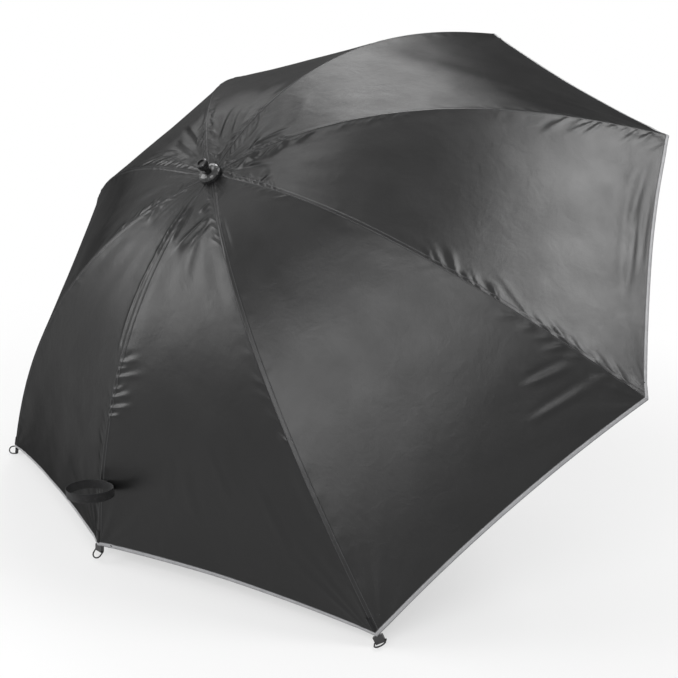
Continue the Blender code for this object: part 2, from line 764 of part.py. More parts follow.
def bolt_mesh():
    """A bolt across the knuckle, with its head on one side and its thread out of the other."""
    half = KNUCKLE_WIDTH / 2 + TOUCH_GAP
    head = cylinder(BOLT_HEAD_RADIUS, -half - BOLT_HEAD_HEIGHT, -half, "X", segments=ROUND_SEGMENTS)
    shank = cylinder(BOLT_RADIUS, -half - BOLT_HEAD_HEIGHT / 2, half + KNOB_SOCKET_DEPTH - TOUCH_GAP, "X")
    return combine(head, joined=[shank])


def lobed_disc(start):
    """A hand knob's lobed disc, across X, from this distance out."""
    outline = []
    for step in range(LOBE_POINTS):
        angle = 2 * math.pi * step / LOBE_POINTS
        radius = LOBE_KNOB_RADIUS - LOBE_DEPTH * (1 - math.cos(LOBE_COUNT * angle)) / 2
        outline.append((radius * math.cos(angle), radius * math.sin(angle)))
    disc = plate([outline], LOBE_KNOB_THICKNESS / 2)
    out = Matrix.Translation((start + LOBE_KNOB_THICKNESS / 2, 0.0, 0.0)) @ AXIS_TURNS["X"]
    return moved(disc, out)


def tilt_knob_mesh():
    """The knob on the tilt bolt, with its face on the knuckle's cheek."""
    start = KNUCKLE_WIDTH / 2 + TOUCH_GAP
    socket = cylinder(BOLT_RADIUS + TOUCH_GAP, start - CUT_OVERRUN, start + KNOB_SOCKET_DEPTH, "X")
    return combine(lobed_disc(start), cut=[socket])


def collar_mesh(tube_end, screw_height):
    """The clamp collar: a socket for the outer tube, a guide for the inner one, and a screw boss."""
    top, bottom = tube_end + COLLAR_SOCKET_DEPTH, tube_end - COLLAR_GUIDE_LENGTH
    guide = INNER_POLE_RADIUS + TOUCH_GAP
    shoulder = tube_end - TOUCH_GAP
    profile = [
        (COLLAR_RADIUS, top),
        (COLLAR_RADIUS, bottom),
        (guide, bottom),
        (guide, shoulder),
        (BORE_RADIUS, shoulder),
        (BORE_RADIUS, top),
    ]
    boss, hole = screw_boss(COLLAR_BOSS_RADIUS, COLLAR_BOSS_REACH, INNER_POLE_RADIUS, screw_height)
    return combine(turned(profile, closed=True), joined=[boss], cut=[hole])


def screw_knob_mesh(reach, tube_radius):
    """A knob outside a boss that reaches this far, with a screw that presses on the tube inside."""
    start = reach + TOUCH_GAP
    screw = cylinder(BOLT_RADIUS, tube_radius + TOUCH_GAP, start + LOBE_KNOB_THICKNESS / 2, "X")
    return combine(lobed_disc(start), joined=[screw])


def spike_mesh(top):
    """The ground spike: a spigot in the inner tube, a flange and a long point."""
    flange_bottom = top - SPIKE_FLANGE_HEIGHT
    spigot = INNER_POLE_RADIUS - INNER_POLE_WALL - TOUCH_GAP
    profile = [
        (0.0, top + SPIKE_SPIGOT_LENGTH),
        (spigot, top + SPIKE_SPIGOT_LENGTH),
        (spigot, top),
        (SPIKE_FLANGE_RADIUS, top),
        (SPIKE_FLANGE_RADIUS, flange_bottom),
        (INNER_POLE_RADIUS, flange_bottom),
        (SPIKE_TIP_RADIUS, top - SPIKE_LENGTH),
        (0.0, top - SPIKE_LENGTH),
    ]
    return turned(profile)


def strap_mesh():
    """A round loop of webbing on its sewn foot, seen along its width: X along the cover, Y up from it."""
    outlines = []
    for inset in (0.0, STRAP_THICKNESS):
        half_length, half_height = STRAP_LOOP_LENGTH / 2 - inset, STRAP_LOOP_HEIGHT / 2 - inset
        outline = []
        for step in range(STRAP_POINTS):
            angle = 2 * math.pi * step / STRAP_POINTS
            height = STRAP_LOOP_HEIGHT / 2 - half_height * math.cos(angle)
            outline.append((half_length * math.sin(angle), height))
        outlines.append(outline)
    half_foot, half_width = STRAP_FOOT_LENGTH / 2, STRAP_WIDTH / 2 - TOUCH_GAP
    layers = STRAP_FOOT_LAYERS * STRAP_THICKNESS
    foot = box((-half_foot, 0.0, -half_width), (half_foot, layers, half_width))
    return combine(plate(outlines, STRAP_WIDTH / 2), joined=[foot])


def world_corners(items):
    """Every vertex of some objects, in world space, as their modifiers leave them."""
    bpy.context.view_layer.update()
    graph = bpy.context.evaluated_depsgraph_get()
    places = []
    for item in items:
        solid = item.evaluated_get(graph)
        mesh = solid.to_mesh()
        places += [item.matrix_world @ vertex.co for vertex in mesh.vertices]
        solid.to_mesh_clear()
    return places


def build_spoke(frame, spoke, meshes):
    """One rib with its clip, tip, half gores and stretcher."""
    angle = azimuth(spoke)
    place = Matrix.Rotation(angle, 4, "Z") @ Vector((HINGE_RADIUS, 0.0, HINGE_HEIGHT))
    hinge = axis_empty(f"rib_{spoke}_axis", frame, place, (0.0, 0.0, angle))
    length = rib_length(spoke)
    piece(f"rib_{spoke}", meshes["back_rib" if spoke == 1 else "rib"], hinge, FIBREGLASS)
    piece(f"rib_clip_{spoke}", meshes["clip"], hinge, BLACK_NYLON, CLIP_CENTRE, (0.0, CLIP_SLOPE, 0.0))

    end, slope = rib_end(length)
    along = Vector((math.cos(slope), 0.0, -math.sin(slope)))
    mouth = end - along * (CAP_SOCKET_DEPTH - TOUCH_GAP)
    tip_turn = (0.0, slope, 0.0)
    if spoke in RING_SPOKES:
        piece(f"tip_boot_{spoke}", meshes["boot"], hinge, BLACK_NYLON, mouth, tip_turn)
        ring_place = mouth + along * (BOOT_CORNER + TAB_REACH)
        ring_slope = slope - math.radians(RING_SPOKES[spoke])
        ring_axis = axis_empty(f"tie_ring_{spoke}_axis", hinge, ring_place)
        piece(f"tie_ring_{spoke}", meshes["ring"], ring_axis, BLACK_STEEL, turn=(0.0, ring_slope, 0.0))
    else:
        piece(f"tip_cap_{spoke}", meshes["cap"], hinge, BLACK_NYLON, mouth, tip_turn)

    cover = piece(f"canopy_panel_{spoke}", cover_mesh(spoke), hinge, COATED_CLOTH)
    solidify = cover.modifiers.new("cloth", "SOLIDIFY")
    solidify.thickness = COVER_THICKNESS
    solidify.offset = -1.0
    solidify.use_even_offset = True

    stretcher_axis = axis_empty(f"stretcher_{spoke}_axis", hinge, STRETCHER_PIVOT)
    piece(f"stretcher_{spoke}", meshes["stretcher"], stretcher_axis, BLACK_STEEL)
    return hinge, stretcher_axis


def build_strap(hinge):
    """The webbing loop is sewn to the cover beside the back seam, towards spoke 2."""
    to_rib = spoke_matrix(1)
    arcs = row_arcs(BACK_RIB_LENGTH)
    strap_arc = STRAP_PLACE_SHARE * BACK_RIB_LENGTH
    row = next(index for index, arc in enumerate(arcs) if arc > strap_arc) - 1
    share = (strap_arc - arcs[row]) / (arcs[row + 1] - arcs[row])
    first, second = COVER_COLUMN_SHARES[:2]

    def on_cover(across, along):
        start, end = cover_point(1, 1, across, row), cover_point(1, 1, across, row + 1)
        return to_rib @ start.lerp(end, along)

    seam = on_cover(first, share)
    across = (on_cover(second, share) - seam).normalized()
    down = on_cover(first, 1.0) - on_cover(first, 0.0)
    up = down.cross(across).normalized()
    if up.z < 0:
        up = -up
    turn = Matrix((across, up, across.cross(up))).transposed().to_euler()
    place = seam + across * (STRAP_START + STRAP_FOOT_LENGTH / 2) + up * STRAP_CLEARANCE
    piece("storage_strap", strap_mesh(), hinge, WEBBING, place, turn)


def build_umbrella():
    frame = axis_empty("umbrella_frame", None, (0.0, 0.0, 0.0), (-math.radians(STANCE_TILT), 0.0, 0.0))
    meshes = {
        "rib": rib_mesh(RIB_LENGTH),
        "back_rib": rib_mesh(BACK_RIB_LENGTH),
        "clip": clip_mesh(),
        "cap": cap_mesh(),
        "boot": boot_mesh(BOOT_CORNER),
        "ring": ring_mesh(),
        "stretcher": stretcher_mesh(),
    }
    spokes = {spoke: build_spoke(frame, spoke, meshes) for spoke in range(1, RIB_COUNT + 1)}
    build_strap(spokes[1][0])

    crown, socket_top = crown_mesh()
    piece("crown", crown, frame, BLACK_NYLON)
    top_cap, cap_top = top_cap_mesh()
    piece("top_cap", top_cap, frame, GLOSS_BLACK)
    piece("finial", finial_mesh(cap_top), frame, GLOSS_BLACK)
    build_runner(spokes[1][1])
    build_poles(frame, socket_top)
    return frame


def build_runner(stretcher_axis):
    """The runner on the end of the back stretcher, and its locking knob, which turns across the pole."""
    runner, screw_height = runner_mesh()
    end = Vector((-STRETCHER_PIVOT.x, 0.0, STRETCHER_PIVOT.z))
    runner_axis = axis_empty("runner_axis", stretcher_axis, end)
    turn = Matrix.Rotation(-azimuth(1), 4, "Z")
    place = Matrix.Translation((-HINGE_RADIUS, 0.0, -RUNNER_HINGE_HEIGHT)) @ turn
    piece("runner", moved(runner, place), runner_axis, BLACK_NYLON)
    knob_axis = axis_empty("runner_knob_axis", runner_axis, place @ Vector((0.0, 0.0, screw_height)))
    knob = moved(screw_knob_mesh(RUNNER_BOSS_REACH, POLE_RADIUS), turn)
    piece("runner_knob", knob, knob_axis, BLACK_NYLON)


def build_poles(frame, socket_top):
    """The pole, from the crown down to the spike, which reaches the plane of the two back tips."""
    knuckle_top = -TILT_DEPTH + KNUCKLE_NECK + KNUCKLE_SLEEVE_LENGTH - KNUCKLE_SOCKET_DEPTH
    pole_top = socket_top - TOUCH_GAP
    piece("upper_pole", tube(POLE_RADIUS, POLE_WALL, pole_top, knuckle_top + TOUCH_GAP), frame, ALUMINIUM)

    tilt_axis = axis_empty("tilt_axis", frame, (0.0, 0.0, -TILT_DEPTH))
    piece("knuckle_upper", upper_knuckle_mesh(), frame, BLACK_NYLON, (0.0, 0.0, -TILT_DEPTH))
    piece("tilt_bolt", bolt_mesh(), frame, BLACK_STEEL, (0.0, 0.0, -TILT_DEPTH))
    piece("knuckle_lower", lower_knuckle_mesh(), tilt_axis, BLACK_NYLON)
    knob_axis = axis_empty("tilt_knob_axis", frame, (0.0, 0.0, -TILT_DEPTH))
    piece("tilt_knob", tilt_knob_mesh(), knob_axis, BLACK_NYLON)

    lowest = min(place.z for place in world_corners(PARTS.objects))
    tilt = math.radians(STANCE_TILT)
    reach = (-lowest - SPIKE_TIP_RADIUS * math.sin(tilt)) / math.cos(tilt)
    spike_top = -(reach - SPIKE_LENGTH) + TILT_DEPTH
    tube_end = spike_top + TOUCH_GAP + COLLAR_GUIDE_LENGTH
    tube_top = -(KNUCKLE_NECK + KNUCKLE_SLEEVE_LENGTH - KNUCKLE_SOCKET_DEPTH) - TOUCH_GAP
    piece("lower_pole", tube(POLE_RADIUS, POLE_WALL, tube_top, tube_end), tilt_axis, ALUMINIUM)
    screw_height = tube_end - COLLAR_GUIDE_LENGTH / 2
    piece("clamp_collar", collar_mesh(tube_end, screw_height), tilt_axis, BLACK_NYLON)
    clamp_axis = axis_empty("clamp_knob_axis", tilt_axis, (0.0, 0.0, screw_height))
    piece("clamp_knob", screw_knob_mesh(COLLAR_BOSS_REACH, INNER_POLE_RADIUS), clamp_axis, BLACK_NYLON)

    inner_axis = axis_empty("inner_pole_axis", tilt_axis, (0.0, 0.0, spike_top))
    inner_top = tube_top - INNER_POLE_HEADROOM - spike_top
    inner_pole = tube(INNER_POLE_RADIUS, INNER_POLE_WALL, inner_top, TOUCH_GAP)
    piece("inner_pole", inner_pole, inner_axis, ALUMINIUM)
    piece("ground_spike", spike_mesh(0.0), inner_axis, BLACK_STEEL)


def set_on_ground(frame):
    """Put the lowest point on the ground, with the middle of the whole umbrella over the origin."""
    places = world_corners(PARTS.objects)
    middle = [(min(p[axis] for p in places) + max(p[axis] for p in places)) / 2 for axis in (0, 1)]
    frame.location = (-middle[0], -middle[1], -min(p.z for p in places))
    bpy.context.view_layer.update()


set_on_ground(build_umbrella())
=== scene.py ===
"""Looks of the fishing umbrella: the cover is one continuous sheet sewn from eight gores."""

import json
import math

import bpy
import numpy as np
from mathutils import Euler, Matrix, Vector

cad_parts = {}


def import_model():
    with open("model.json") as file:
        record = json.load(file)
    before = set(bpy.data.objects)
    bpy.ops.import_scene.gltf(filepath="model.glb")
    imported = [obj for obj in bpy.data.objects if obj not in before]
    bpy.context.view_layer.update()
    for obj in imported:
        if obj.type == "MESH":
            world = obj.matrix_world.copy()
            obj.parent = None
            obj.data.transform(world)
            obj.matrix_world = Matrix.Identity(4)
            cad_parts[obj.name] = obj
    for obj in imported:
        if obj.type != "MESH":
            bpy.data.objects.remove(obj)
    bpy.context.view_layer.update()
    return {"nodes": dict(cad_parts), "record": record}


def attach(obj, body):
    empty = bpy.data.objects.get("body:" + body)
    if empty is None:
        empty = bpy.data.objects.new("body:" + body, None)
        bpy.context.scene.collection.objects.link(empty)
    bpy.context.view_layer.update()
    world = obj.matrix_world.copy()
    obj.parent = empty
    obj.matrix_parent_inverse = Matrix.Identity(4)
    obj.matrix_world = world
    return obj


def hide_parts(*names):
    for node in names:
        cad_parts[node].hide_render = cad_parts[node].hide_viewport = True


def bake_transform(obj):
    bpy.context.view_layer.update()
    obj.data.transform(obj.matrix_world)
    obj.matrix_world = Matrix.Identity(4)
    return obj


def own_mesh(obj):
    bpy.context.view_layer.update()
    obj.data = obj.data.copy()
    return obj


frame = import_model()

# The cover's shape, in metres and degrees, as the CAD has it
SPOKES = 8
RIB_LENGTH, BACK_RIB_LENGTH = 1.27, 1.02
SEAM_RADIUS, SEAM_HEIGHT, HOLE_RADIUS = 0.035, -0.020, 0.012
HINGE_RADIUS, HINGE_HEIGHT = 0.028, -0.02962
FOLD_DEGREES = 57.0
HEM_CUT, SAG = 0.014, 0.012
# A rib's slope where its seam starts, how much it grows over the rib and how much it eases off
SLOPE_START, SLOPE_RISE, SLOPE_EASE = -4.0, 92.5, 41.0
# Where along the short rib its rows start to crowd, and how softly
EQUAL_ARC, ARC_EASE = 0.4176, 0.0144
BACK_AZIMUTH = 90.0
LEAN = math.radians(45.0)

# The cover is made upright round the pole, from an origin this far below the finial's dish
DISH_HEIGHT = 0.0271
dish = next(mount for mount in frame["record"]["mounts"] if mount["name"] == "finial_dish")
ORIGIN = Vector(dish["pos_m"]) - DISH_HEIGHT * Vector(dish["axis"])
TO_WORLD = Matrix.Translation(ORIGIN) @ Matrix.Rotation(-LEAN, 4, "X")
TURN = np.array(TO_WORLD.to_3x3())
SHIFT = np.array(ORIGIN)

# The cloth's thickness, and how wide and high the felled seam beside a seam line is, in metres
CLOTH = 0.0008
BAND, BAND_MOST_SHARE, BAND_HEIGHT = 0.0125, 0.35, 0.0010

# How finely the cloth is modelled, and where it is divided into strips that ride the ribs
ROW_STEP, HUB_ROW_STEP, HUB_ROWS_END, FEWEST_ROWS = 0.0080, 0.0042, 0.27, 4
HALF_COLUMNS = 34
ZONES = (0.0, 0.05, 0.10, 0.16, 0.22, 0.28, 0.34, 0.40, 0.46, 0.52, 0.58, 0.64, 0.70, 0.76, 0.82,
         0.88, 0.94, 1.00, 1.06, 1.12, 1.18, RIB_LENGTH)

# Where along a strip its folded width is taken, and what is added to it, as shares
KEEP_PLACE, KEEP_SPARE = 0.4, 0.004

# Heights of the cloth's unevenness, in metres
BILLOW, SMALL_BILLOW = 0.0020, 0.0008
GATHER, SMALL_GATHER = 0.0036, 0.0013
TENSION_FOLD, CORNER_FAN, STITCH_PUCKER = 0.0020, 0.0034, 0.0007

rng = np.random.default_rng(7)


# Small helpers
def smooth(x, low, high):
    """0 up to low, 1 from high on, with a soft step between them."""
    t = np.clip((x - low) / (high - low), 0.0, 1.0)
    return t * t * (3 - 2 * t)


def hashed(ix, iy, seed):
    """A fixed scattered value from -1 to 1 for each whole place."""
    value = np.sin(ix * 127.1 + iy * 311.7 + seed * 74.7) * 43758.5453
    return (value - np.floor(value)) * 2 - 1


def noise(x, y, seed=0.0):
    """Smooth value noise from -1 to 1."""
    x, y = np.broadcast_arrays(np.asarray(x, float), np.asarray(y, float))
    ix, iy = np.floor(x), np.floor(y)
    fx, fy = x - ix, y - iy
    fx, fy = fx * fx * (3 - 2 * fx), fy * fy * (3 - 2 * fy)
    low = hashed(ix, iy, seed) * (1 - fx) + hashed(ix + 1, iy, seed) * fx
    high = hashed(ix, iy + 1, seed) * (1 - fx) + hashed(ix + 1, iy + 1, seed) * fx
    return low * (1 - fy) + high * fy


def unit(v):
    return v / np.maximum(np.linalg.norm(v, axis=-1, keepdims=True), 1e-12)


def world(points):
    return points @ TURN.T + SHIFT


# The cover's surface
TABLE_END, TABLE_COUNT = 1.32, 2641
TABLE = np.linspace(0.0, TABLE_END, TABLE_COUNT)


def slope(arc):
    """How steeply a rib runs down at this distance along its seam."""
    share = arc / RIB_LENGTH
    return np.radians(SLOPE_START + SLOPE_RISE * share - SLOPE_EASE * share * share)


# The seam's radius and height at each distance of the table, summed from the slopes between them
TABLE_SLOPES = slope((TABLE[1:] + TABLE[:-1]) / 2)
TABLE_STEP = TABLE[1] - TABLE[0]
RADII = SEAM_RADIUS + np.concatenate([[0], np.cumsum(np.cos(TABLE_SLOPES)) * TABLE_STEP])
HEIGHTS = SEAM_HEIGHT - np.concatenate([[0], np.cumsum(np.sin(TABLE_SLOPES)) * TABLE_STEP])


def azimuth(spoke):
    return math.radians(BACK_AZIMUTH + 360.0 / SPOKES * (spoke - 1))


def next_spoke(spoke):
    return spoke % SPOKES + 1


def spoke_before(spoke):
    return (spoke - 2) % SPOKES + 1


def length_of(spoke):
    return BACK_RIB_LENGTH if spoke == 1 else RIB_LENGTH


def own_arc(spoke, u):
    """The distance along a rib's seam that belongs to distance u along a full-length one."""
    span = RIB_LENGTH - EQUAL_ARC
    start = -EQUAL_ARC / span

    def ramp(x):
        return (x + np.sqrt(x * x + ARC_EASE)) / 2

    x = (u - EQUAL_ARC) / span
    eased = (ramp(x) - ramp(start)) / (ramp(1.0) - ramp(start))
    return u - (RIB_LENGTH - length_of(spoke)) * eased


def seam(spoke, arc):
    """Points of a rib's seam, at these distances along it."""
    radius, height = np.interp(arc, TABLE, RADII), np.interp(arc, TABLE, HEIGHTS)
    angle = azimuth(spoke)
    return np.stack([radius * math.cos(angle), radius * math.sin(angle), height], -1)


def seam_normal(spoke, arc):
    out, angle = np.sin(slope(arc)), azimuth(spoke)
    return np.stack([out * math.cos(angle), out * math.sin(angle), np.cos(slope(arc))], -1)


def gore_width(gore, u):
    """How wide a gore is, from seam to seam, at each row."""
    other = next_spoke(gore)
    return np.linalg.norm(seam(other, own_arc(other, u)) - seam(gore, own_arc(gore, u)), axis=-1)


# Rows of puckers where a felled seam is gathered: gore, seam side, start, end, spacing, length
# and height in metres, and lean. Gore n lies between spoke n and the next; side 0 is at spoke n.
LADDERS = (
    (3, 1, 0.030, 0.200, 0.0270, 0.055, 0.0062, 0.9), (3, 1, 0.215, 0.270, 0.0130, 0.024, 0.0028, 0.5),
    (3, 1, 0.350, 0.520, 0.0300, 0.030, 0.0012, 0.6), (3, 1, 0.930, 1.240, 0.0330, 0.070, 0.0024, 0.9),
    (3, 0, 0.060, 0.230, 0.0170, 0.030, 0.0032, 0.7), (3, 0, 0.660, 0.880, 0.0360, 0.075, 0.0044, 0.5),
    (3, 0, 0.940, 1.230, 0.0420, 0.085, 0.0030, 1.3), (2, 1, 0.080, 0.260, 0.0180, 0.022, 0.0018, 0.6),
    (2, 1, 0.900, 1.200, 0.0380, 0.050, 0.0022, 0.8), (2, 0, 0.060, 0.200, 0.0260, 0.030, 0.0010, 0.8),
    (1, 0, 0.570, 0.790, 0.0330, 0.085, 0.0048, 0.1), (1, 0, 0.050, 0.220, 0.0240, 0.022, 0.0010, 0.8),
    (1, 1, 0.050, 0.230, 0.0220, 0.032, 0.0016, 0.8), (1, 1, 0.620, 0.760, 0.0400, 0.060, 0.0024, 0.2),
    (8, 0, 0.050, 0.260, 0.0260, 0.034, 0.0016, 0.8), (8, 1, 0.090, 0.300, 0.0260, 0.026, 0.0010, 0.8),
    (8, 0, 0.500, 0.800, 0.0400, 0.045, 0.0016, 0.5), (7, 1, 0.050, 0.300, 0.0260, 0.034, 0.0016, 0.8),
    (7, 0, 0.060, 0.240, 0.0260, 0.030, 0.0012, 0.8), (6, 1, 0.050, 0.320, 0.0230, 0.060, 0.0030, 1.2),
    (6, 0, 0.060, 0.260, 0.0200, 0.040, 0.0026, 1.0), (5, 0, 0.050, 0.240, 0.0190, 0.040, 0.0028, 1.0),
    (5, 1, 0.060, 0.300, 0.0220, 0.046, 0.0026, 1.0), (4, 0, 0.050, 0.230, 0.0160, 0.032, 0.0030, 0.9),
    (4, 1, 0.050, 0.260, 0.0210, 0.040, 0.0026, 1.0), (4, 0, 0.950, 1.240, 0.0400, 0.050, 0.0020, 0.9),
    (5, 1, 0.700, 1.200, 0.0450, 0.050, 0.0018, 0.8), (6, 0, 0.600, 1.200, 0.0450, 0.050, 0.0018, 0.8),
    (7, 0, 0.500, 1.200, 0.0450, 0.045, 0.0016, 0.8), (8, 1, 0.700, 1.180, 0.0450, 0.045, 0.0014, 0.8),
)

# Single folds: gore, share across and distance at both ends, height and half width in metres
FOLDS = (
    (1, 0.96, 0.115, 0.22, 0.235, 0.0046, 0.0105), (1, 0.90, 0.070, 0.55, 0.110, 0.0028, 0.0065),
    (1, 0.20, 0.060, 0.12, 0.200, 0.0026, 0.0045), (1, 0.62, 0.160, 0.50, 0.330, 0.0008, 0.0090),
    (1, 0.35, 0.880, 0.30, 1.060, 0.0012, 0.0070), (1, 0.42, 0.900, 0.41, 1.100, 0.0012, 0.0080),
    (1, 0.55, 0.820, 0.60, 1.020, 0.0010, 0.0070), (1, 0.75, 0.900, 0.79, 1.120, 0.0012, 0.0080),
    (3, 0.70, 0.150, 0.98, 0.205, 0.0048, 0.0065), (3, 0.86, 0.225, 0.98, 0.262, 0.0030, 0.0050),
    (3, 0.03, 0.150, 0.30, 0.185, 0.0032, 0.0060), (3, 0.55, 0.060, 0.90, 0.110, 0.0040, 0.0070),
    (3, 0.30, 1.200, 0.66, 1.215, 0.0020, 0.0120), (3, 0.55, 1.190, 0.92, 1.225, 0.0022, 0.0120),
    (3, 0.40, 1.235, 0.78, 1.245, 0.0018, 0.0060), (3, 0.50, 0.080, 0.52, 0.180, 0.0016, 0.0060),
    (4, 0.12, 0.090, 0.45, 0.170, 0.0038, 0.0070), (4, 0.30, 0.120, 0.22, 0.240, 0.0034, 0.0080),
    (4, 0.45, 0.090, 0.80, 0.230, 0.0030, 0.0090), (4, 0.15, 0.220, 0.70, 0.360, 0.0022, 0.0130),
    (5, 0.20, 0.100, 0.45, 0.260, 0.0032, 0.0080), (5, 0.55, 0.090, 0.60, 0.280, 0.0034, 0.0080),
    (5, 0.80, 0.120, 0.90, 0.330, 0.0030, 0.0080), (6, 0.15, 0.110, 0.30, 0.330, 0.0036, 0.0070),
    (6, 0.62, 0.170, 0.80, 0.330, 0.0032, 0.0060), (6, 0.42, 0.090, 0.50, 0.260, 0.0030, 0.0070),
    (7, 0.40, 0.090, 0.55, 0.260, 0.0009, 0.0110), (7, 0.90, 0.130, 0.98, 0.210, 0.0020, 0.0070),
    (8, 0.05, 0.130, 0.30, 0.205, 0.0020, 0.0080), (8, 0.93, 0.030, 0.955, 0.30, 0.0026, 0.0045),
    (8, 0.95, 0.200, 0.965, 0.600, 0.0020, 0.0045), (2, 0.06, 0.140, 0.02, 0.290, 0.0024, 0.0060),
    (2, 0.80, 1.050, 0.97, 1.090, 0.0026, 0.0080), (2, 0.72, 1.130, 0.97, 1.160, 0.0022, 0.0080),
    (6, 0.10, 0.900, 0.60, 1.000, 0.0020, 0.0140),
)

# How strongly each gore is gathered round the crown
HUB_GATHERS = (0.45, 0.25, 0.8, 0.6, 0.8, 0.8, 0.3, 0.4)

# How far from the seam a pucker starts, and how much taller single folds are made than listed
PUCKER_START, FOLD_GAIN = 0.004, 1.3


def build_puckers():
    """Every pucker: its gore and seam side, its two ends as distances from the seam and along it,
    its height and half width, and whether it stands at the seam."""
    made = []
    for gore, side, start, end, spacing, length, height, lean in LADDERS:
        place = start
        while place < end:
            long = length * rng.uniform(0.45, 1.25)
            tall = height * rng.uniform(0.45, 1.5)
            half = spacing * rng.uniform(0.20, 0.30)
            back = lean * long * rng.uniform(0.5, 1.3)
            made.append((gore, side, PUCKER_START, place, long, place - back, tall, half, True))
            place += spacing * rng.uniform(0.65, 1.45)
    for gore, a0, u0, a1, u1, height, half in FOLDS:
        wide = gore_width(gore, np.array([u0, u1]))
        made.append((gore, 0, a0 * wide[0], u0, a1 * wide[1], u1, FOLD_GAIN * height, half, False))
    return made


PUCKERS = build_puckers()


def crease(x, y, x0, y0, x1, y1, height, half, at_seam):
    """A sharp ridge along a line with a hollow beside it; a pucker stands tallest at its seam."""
    dx, dy = x1 - x0, y1 - y0
    long = math.hypot(dx, dy)
    t = ((x - x0) * dx + (y - y0) * dy) / long ** 2
    off = ((x - x0) * dy - (y - y0) * dx) / long
    wide = half * (0.8 + 0.7 * np.clip(t, 0, 1))
    hollow = np.exp(-(((off - 1.9 * wide) / (1.2 * wide)) ** 2))
    ridge = np.exp(-np.abs(off / wide) ** 1.5) - 0.5 * hollow
    if at_seam:
        ends = smooth(t, -0.10, 0.10) * (1 - smooth(t, 0.25, 1.0))
    else:
        ends = smooth(t, -0.05, 0.30) * (1 - smooth(t, 0.60, 1.05))
    return height * ridge * ends


def relief(gore, a, u):
    """How far the cloth stands off its even shape, at share a of the way across the gore."""
    width = gore_width(gore, u)
    left, right = a * width, (1 - a) * width
    near = np.minimum(left, right)
    free = smooth(near, 0.004, 0.05)
    # Slow billows of slack cloth
    d = BILLOW * free * noise(a * 2.6 + 11 * gore, u * 4.5, 1.0) * smooth(u, 0.05, 0.5)
    d = d + SMALL_BILLOW * free * noise(a * 7 + 5 * gore, u * 10, 2.0) * smooth(u, 0.05, 0.4)
    # Uneven gathers that run out from the hub
    hub = np.exp(-u / 0.07)
    gathers = noise(a * 9 + gore * 5.3, u * 7 + gore, 3.0)
    rough = HUB_GATHERS[gore - 1]
    d = d + GATHER * rough * hub * np.sign(gathers) * np.abs(gathers) ** 0.8 * smooth(u, 0.0, 0.02)
    d = d + SMALL_GATHER * rough * np.exp(-u / 0.2) * noise(a * 15 + gore * 7, u * 9, 4.0)
    # Long soft tension folds from the hub to the hem, strongest at the hem
    d = d + TENSION_FOLD * smooth(u, 0.75, RIB_LENGTH) * free * noise(a * 6.5 + gore * 9, u * 1.2, 5.0)
    # Folds that fan out of the corners
    for side, reach in ((0, left), (1, right)):
        spoke = gore if side == 0 else next_spoke(gore)
        back = (RIB_LENGTH - u) * length_of(spoke) / RIB_LENGTH
        angle = np.arctan2(reach, back + 0.02)
        far = np.hypot(reach, back)
        fan = noise(angle * 7.0 + gore * 3.7 + side * 1.9, far * 3, 6.0)
        d = d + CORNER_FAN * fan * np.exp(-far / 0.12) * smooth(far, 0.015, 0.05)
    # Puckers at the seams and single folds
    for where, side, x0, u0, x1, u1, height, half, at_seam in PUCKERS:
        if where == gore:
            reach = left if side == 0 else right
            d = d + crease(reach, u, x0, u0, x1, u1, height, half, at_seam)
    # Everywhere a little puckering from the two rows of stitching
    for side, reach in ((0, left), (1, right)):
        fine = noise(u * 46, gore * 2 + side, 9.0) * np.exp(-((reach - 0.016) / 0.016) ** 2)
        d = d + STITCH_PUCKER * fine * smooth(u, 0.03, 0.1)
    # Nothing sinks onto the rib, and both gores meet on the seam
    d = d * smooth(near, -0.002, 0.008)
    guard = smooth(near, 0.0, 0.03)
    return np.where(d < 0, d * guard, d)


def band_width(width):
    """How wide the felled seam is where the gore is this wide."""
    return np.minimum(BAND, BAND_MOST_SHARE * width / 2)


def band_rise(reach, band):
    """The flat-felled seam: two more layers of cloth beside the seam line."""
    rise = smooth(reach / band, 0.0, 0.10) * (1 - smooth(reach / band, 0.92, 1.04))
    return BAND_HEIGHT * rise


def cover(gore, a, u):
    """Points of the outer face in world space, at share a across the gore and row u."""
    other = next_spoke(gore)
    arc_near, arc_far = own_arc(gore, u), own_arc(other, u)
    bow = 4 * a * (1 - a)
    cut = 1 - HEM_CUT * bow
    near, far = seam(gore, cut * arc_near), seam(other, cut * arc_far)
    n_near, n_far = seam_normal(gore, cut * arc_near), seam_normal(other, cut * arc_far)
    share = (arc_near / length_of(gore) + arc_far / length_of(other)) / 2
    width = np.linalg.norm(far - near, axis=-1)
    middle = unit(n_near + n_far)
    blend = a[..., None]
    points = near * (1 - blend) + far * blend - (SAG * bow * share * width)[..., None] * middle
    normal = unit(n_near * (1 - blend) + n_far * blend)
    lift = relief(gore, a, u) + band_rise(a * width, band_width(width)) * (a < 0.5)
    return world(points + lift[..., None] * normal)


def column_shares(width):
    """Where the columns cross a row: close together beside the two seams, even in between."""
    band = band_width(width) / width
    edge = np.array([0.0, 0.06, 0.14, 0.5, 0.9, 1.0, 1.1])
    rest = np.linspace(0, 1, HALF_COLUMNS)[1:] ** 1.25
    half = np.concatenate([edge * band, 1.1 * band + rest * (0.5 - 1.1 * band)])
    return np.concatenate([half, 1 - half[-2::-1]])


def build_rows():
    """The rows' distances along a full-length rib, with one on every cut."""
    rows = []
    for start, end in zip(ZONES, ZONES[1:]):
        step = HUB_ROW_STEP if end <= HUB_ROWS_END else ROW_STEP
        count = max(FEWEST_ROWS, int(math.ceil((end - start) / step)))
        rows += list(np.linspace(start, end, count + 1)[:-1])
    return np.array(rows + [ZONES[-1]])


# A row near the crown, whose normals have to point up along the pole
ROW_FACING_UP = 5


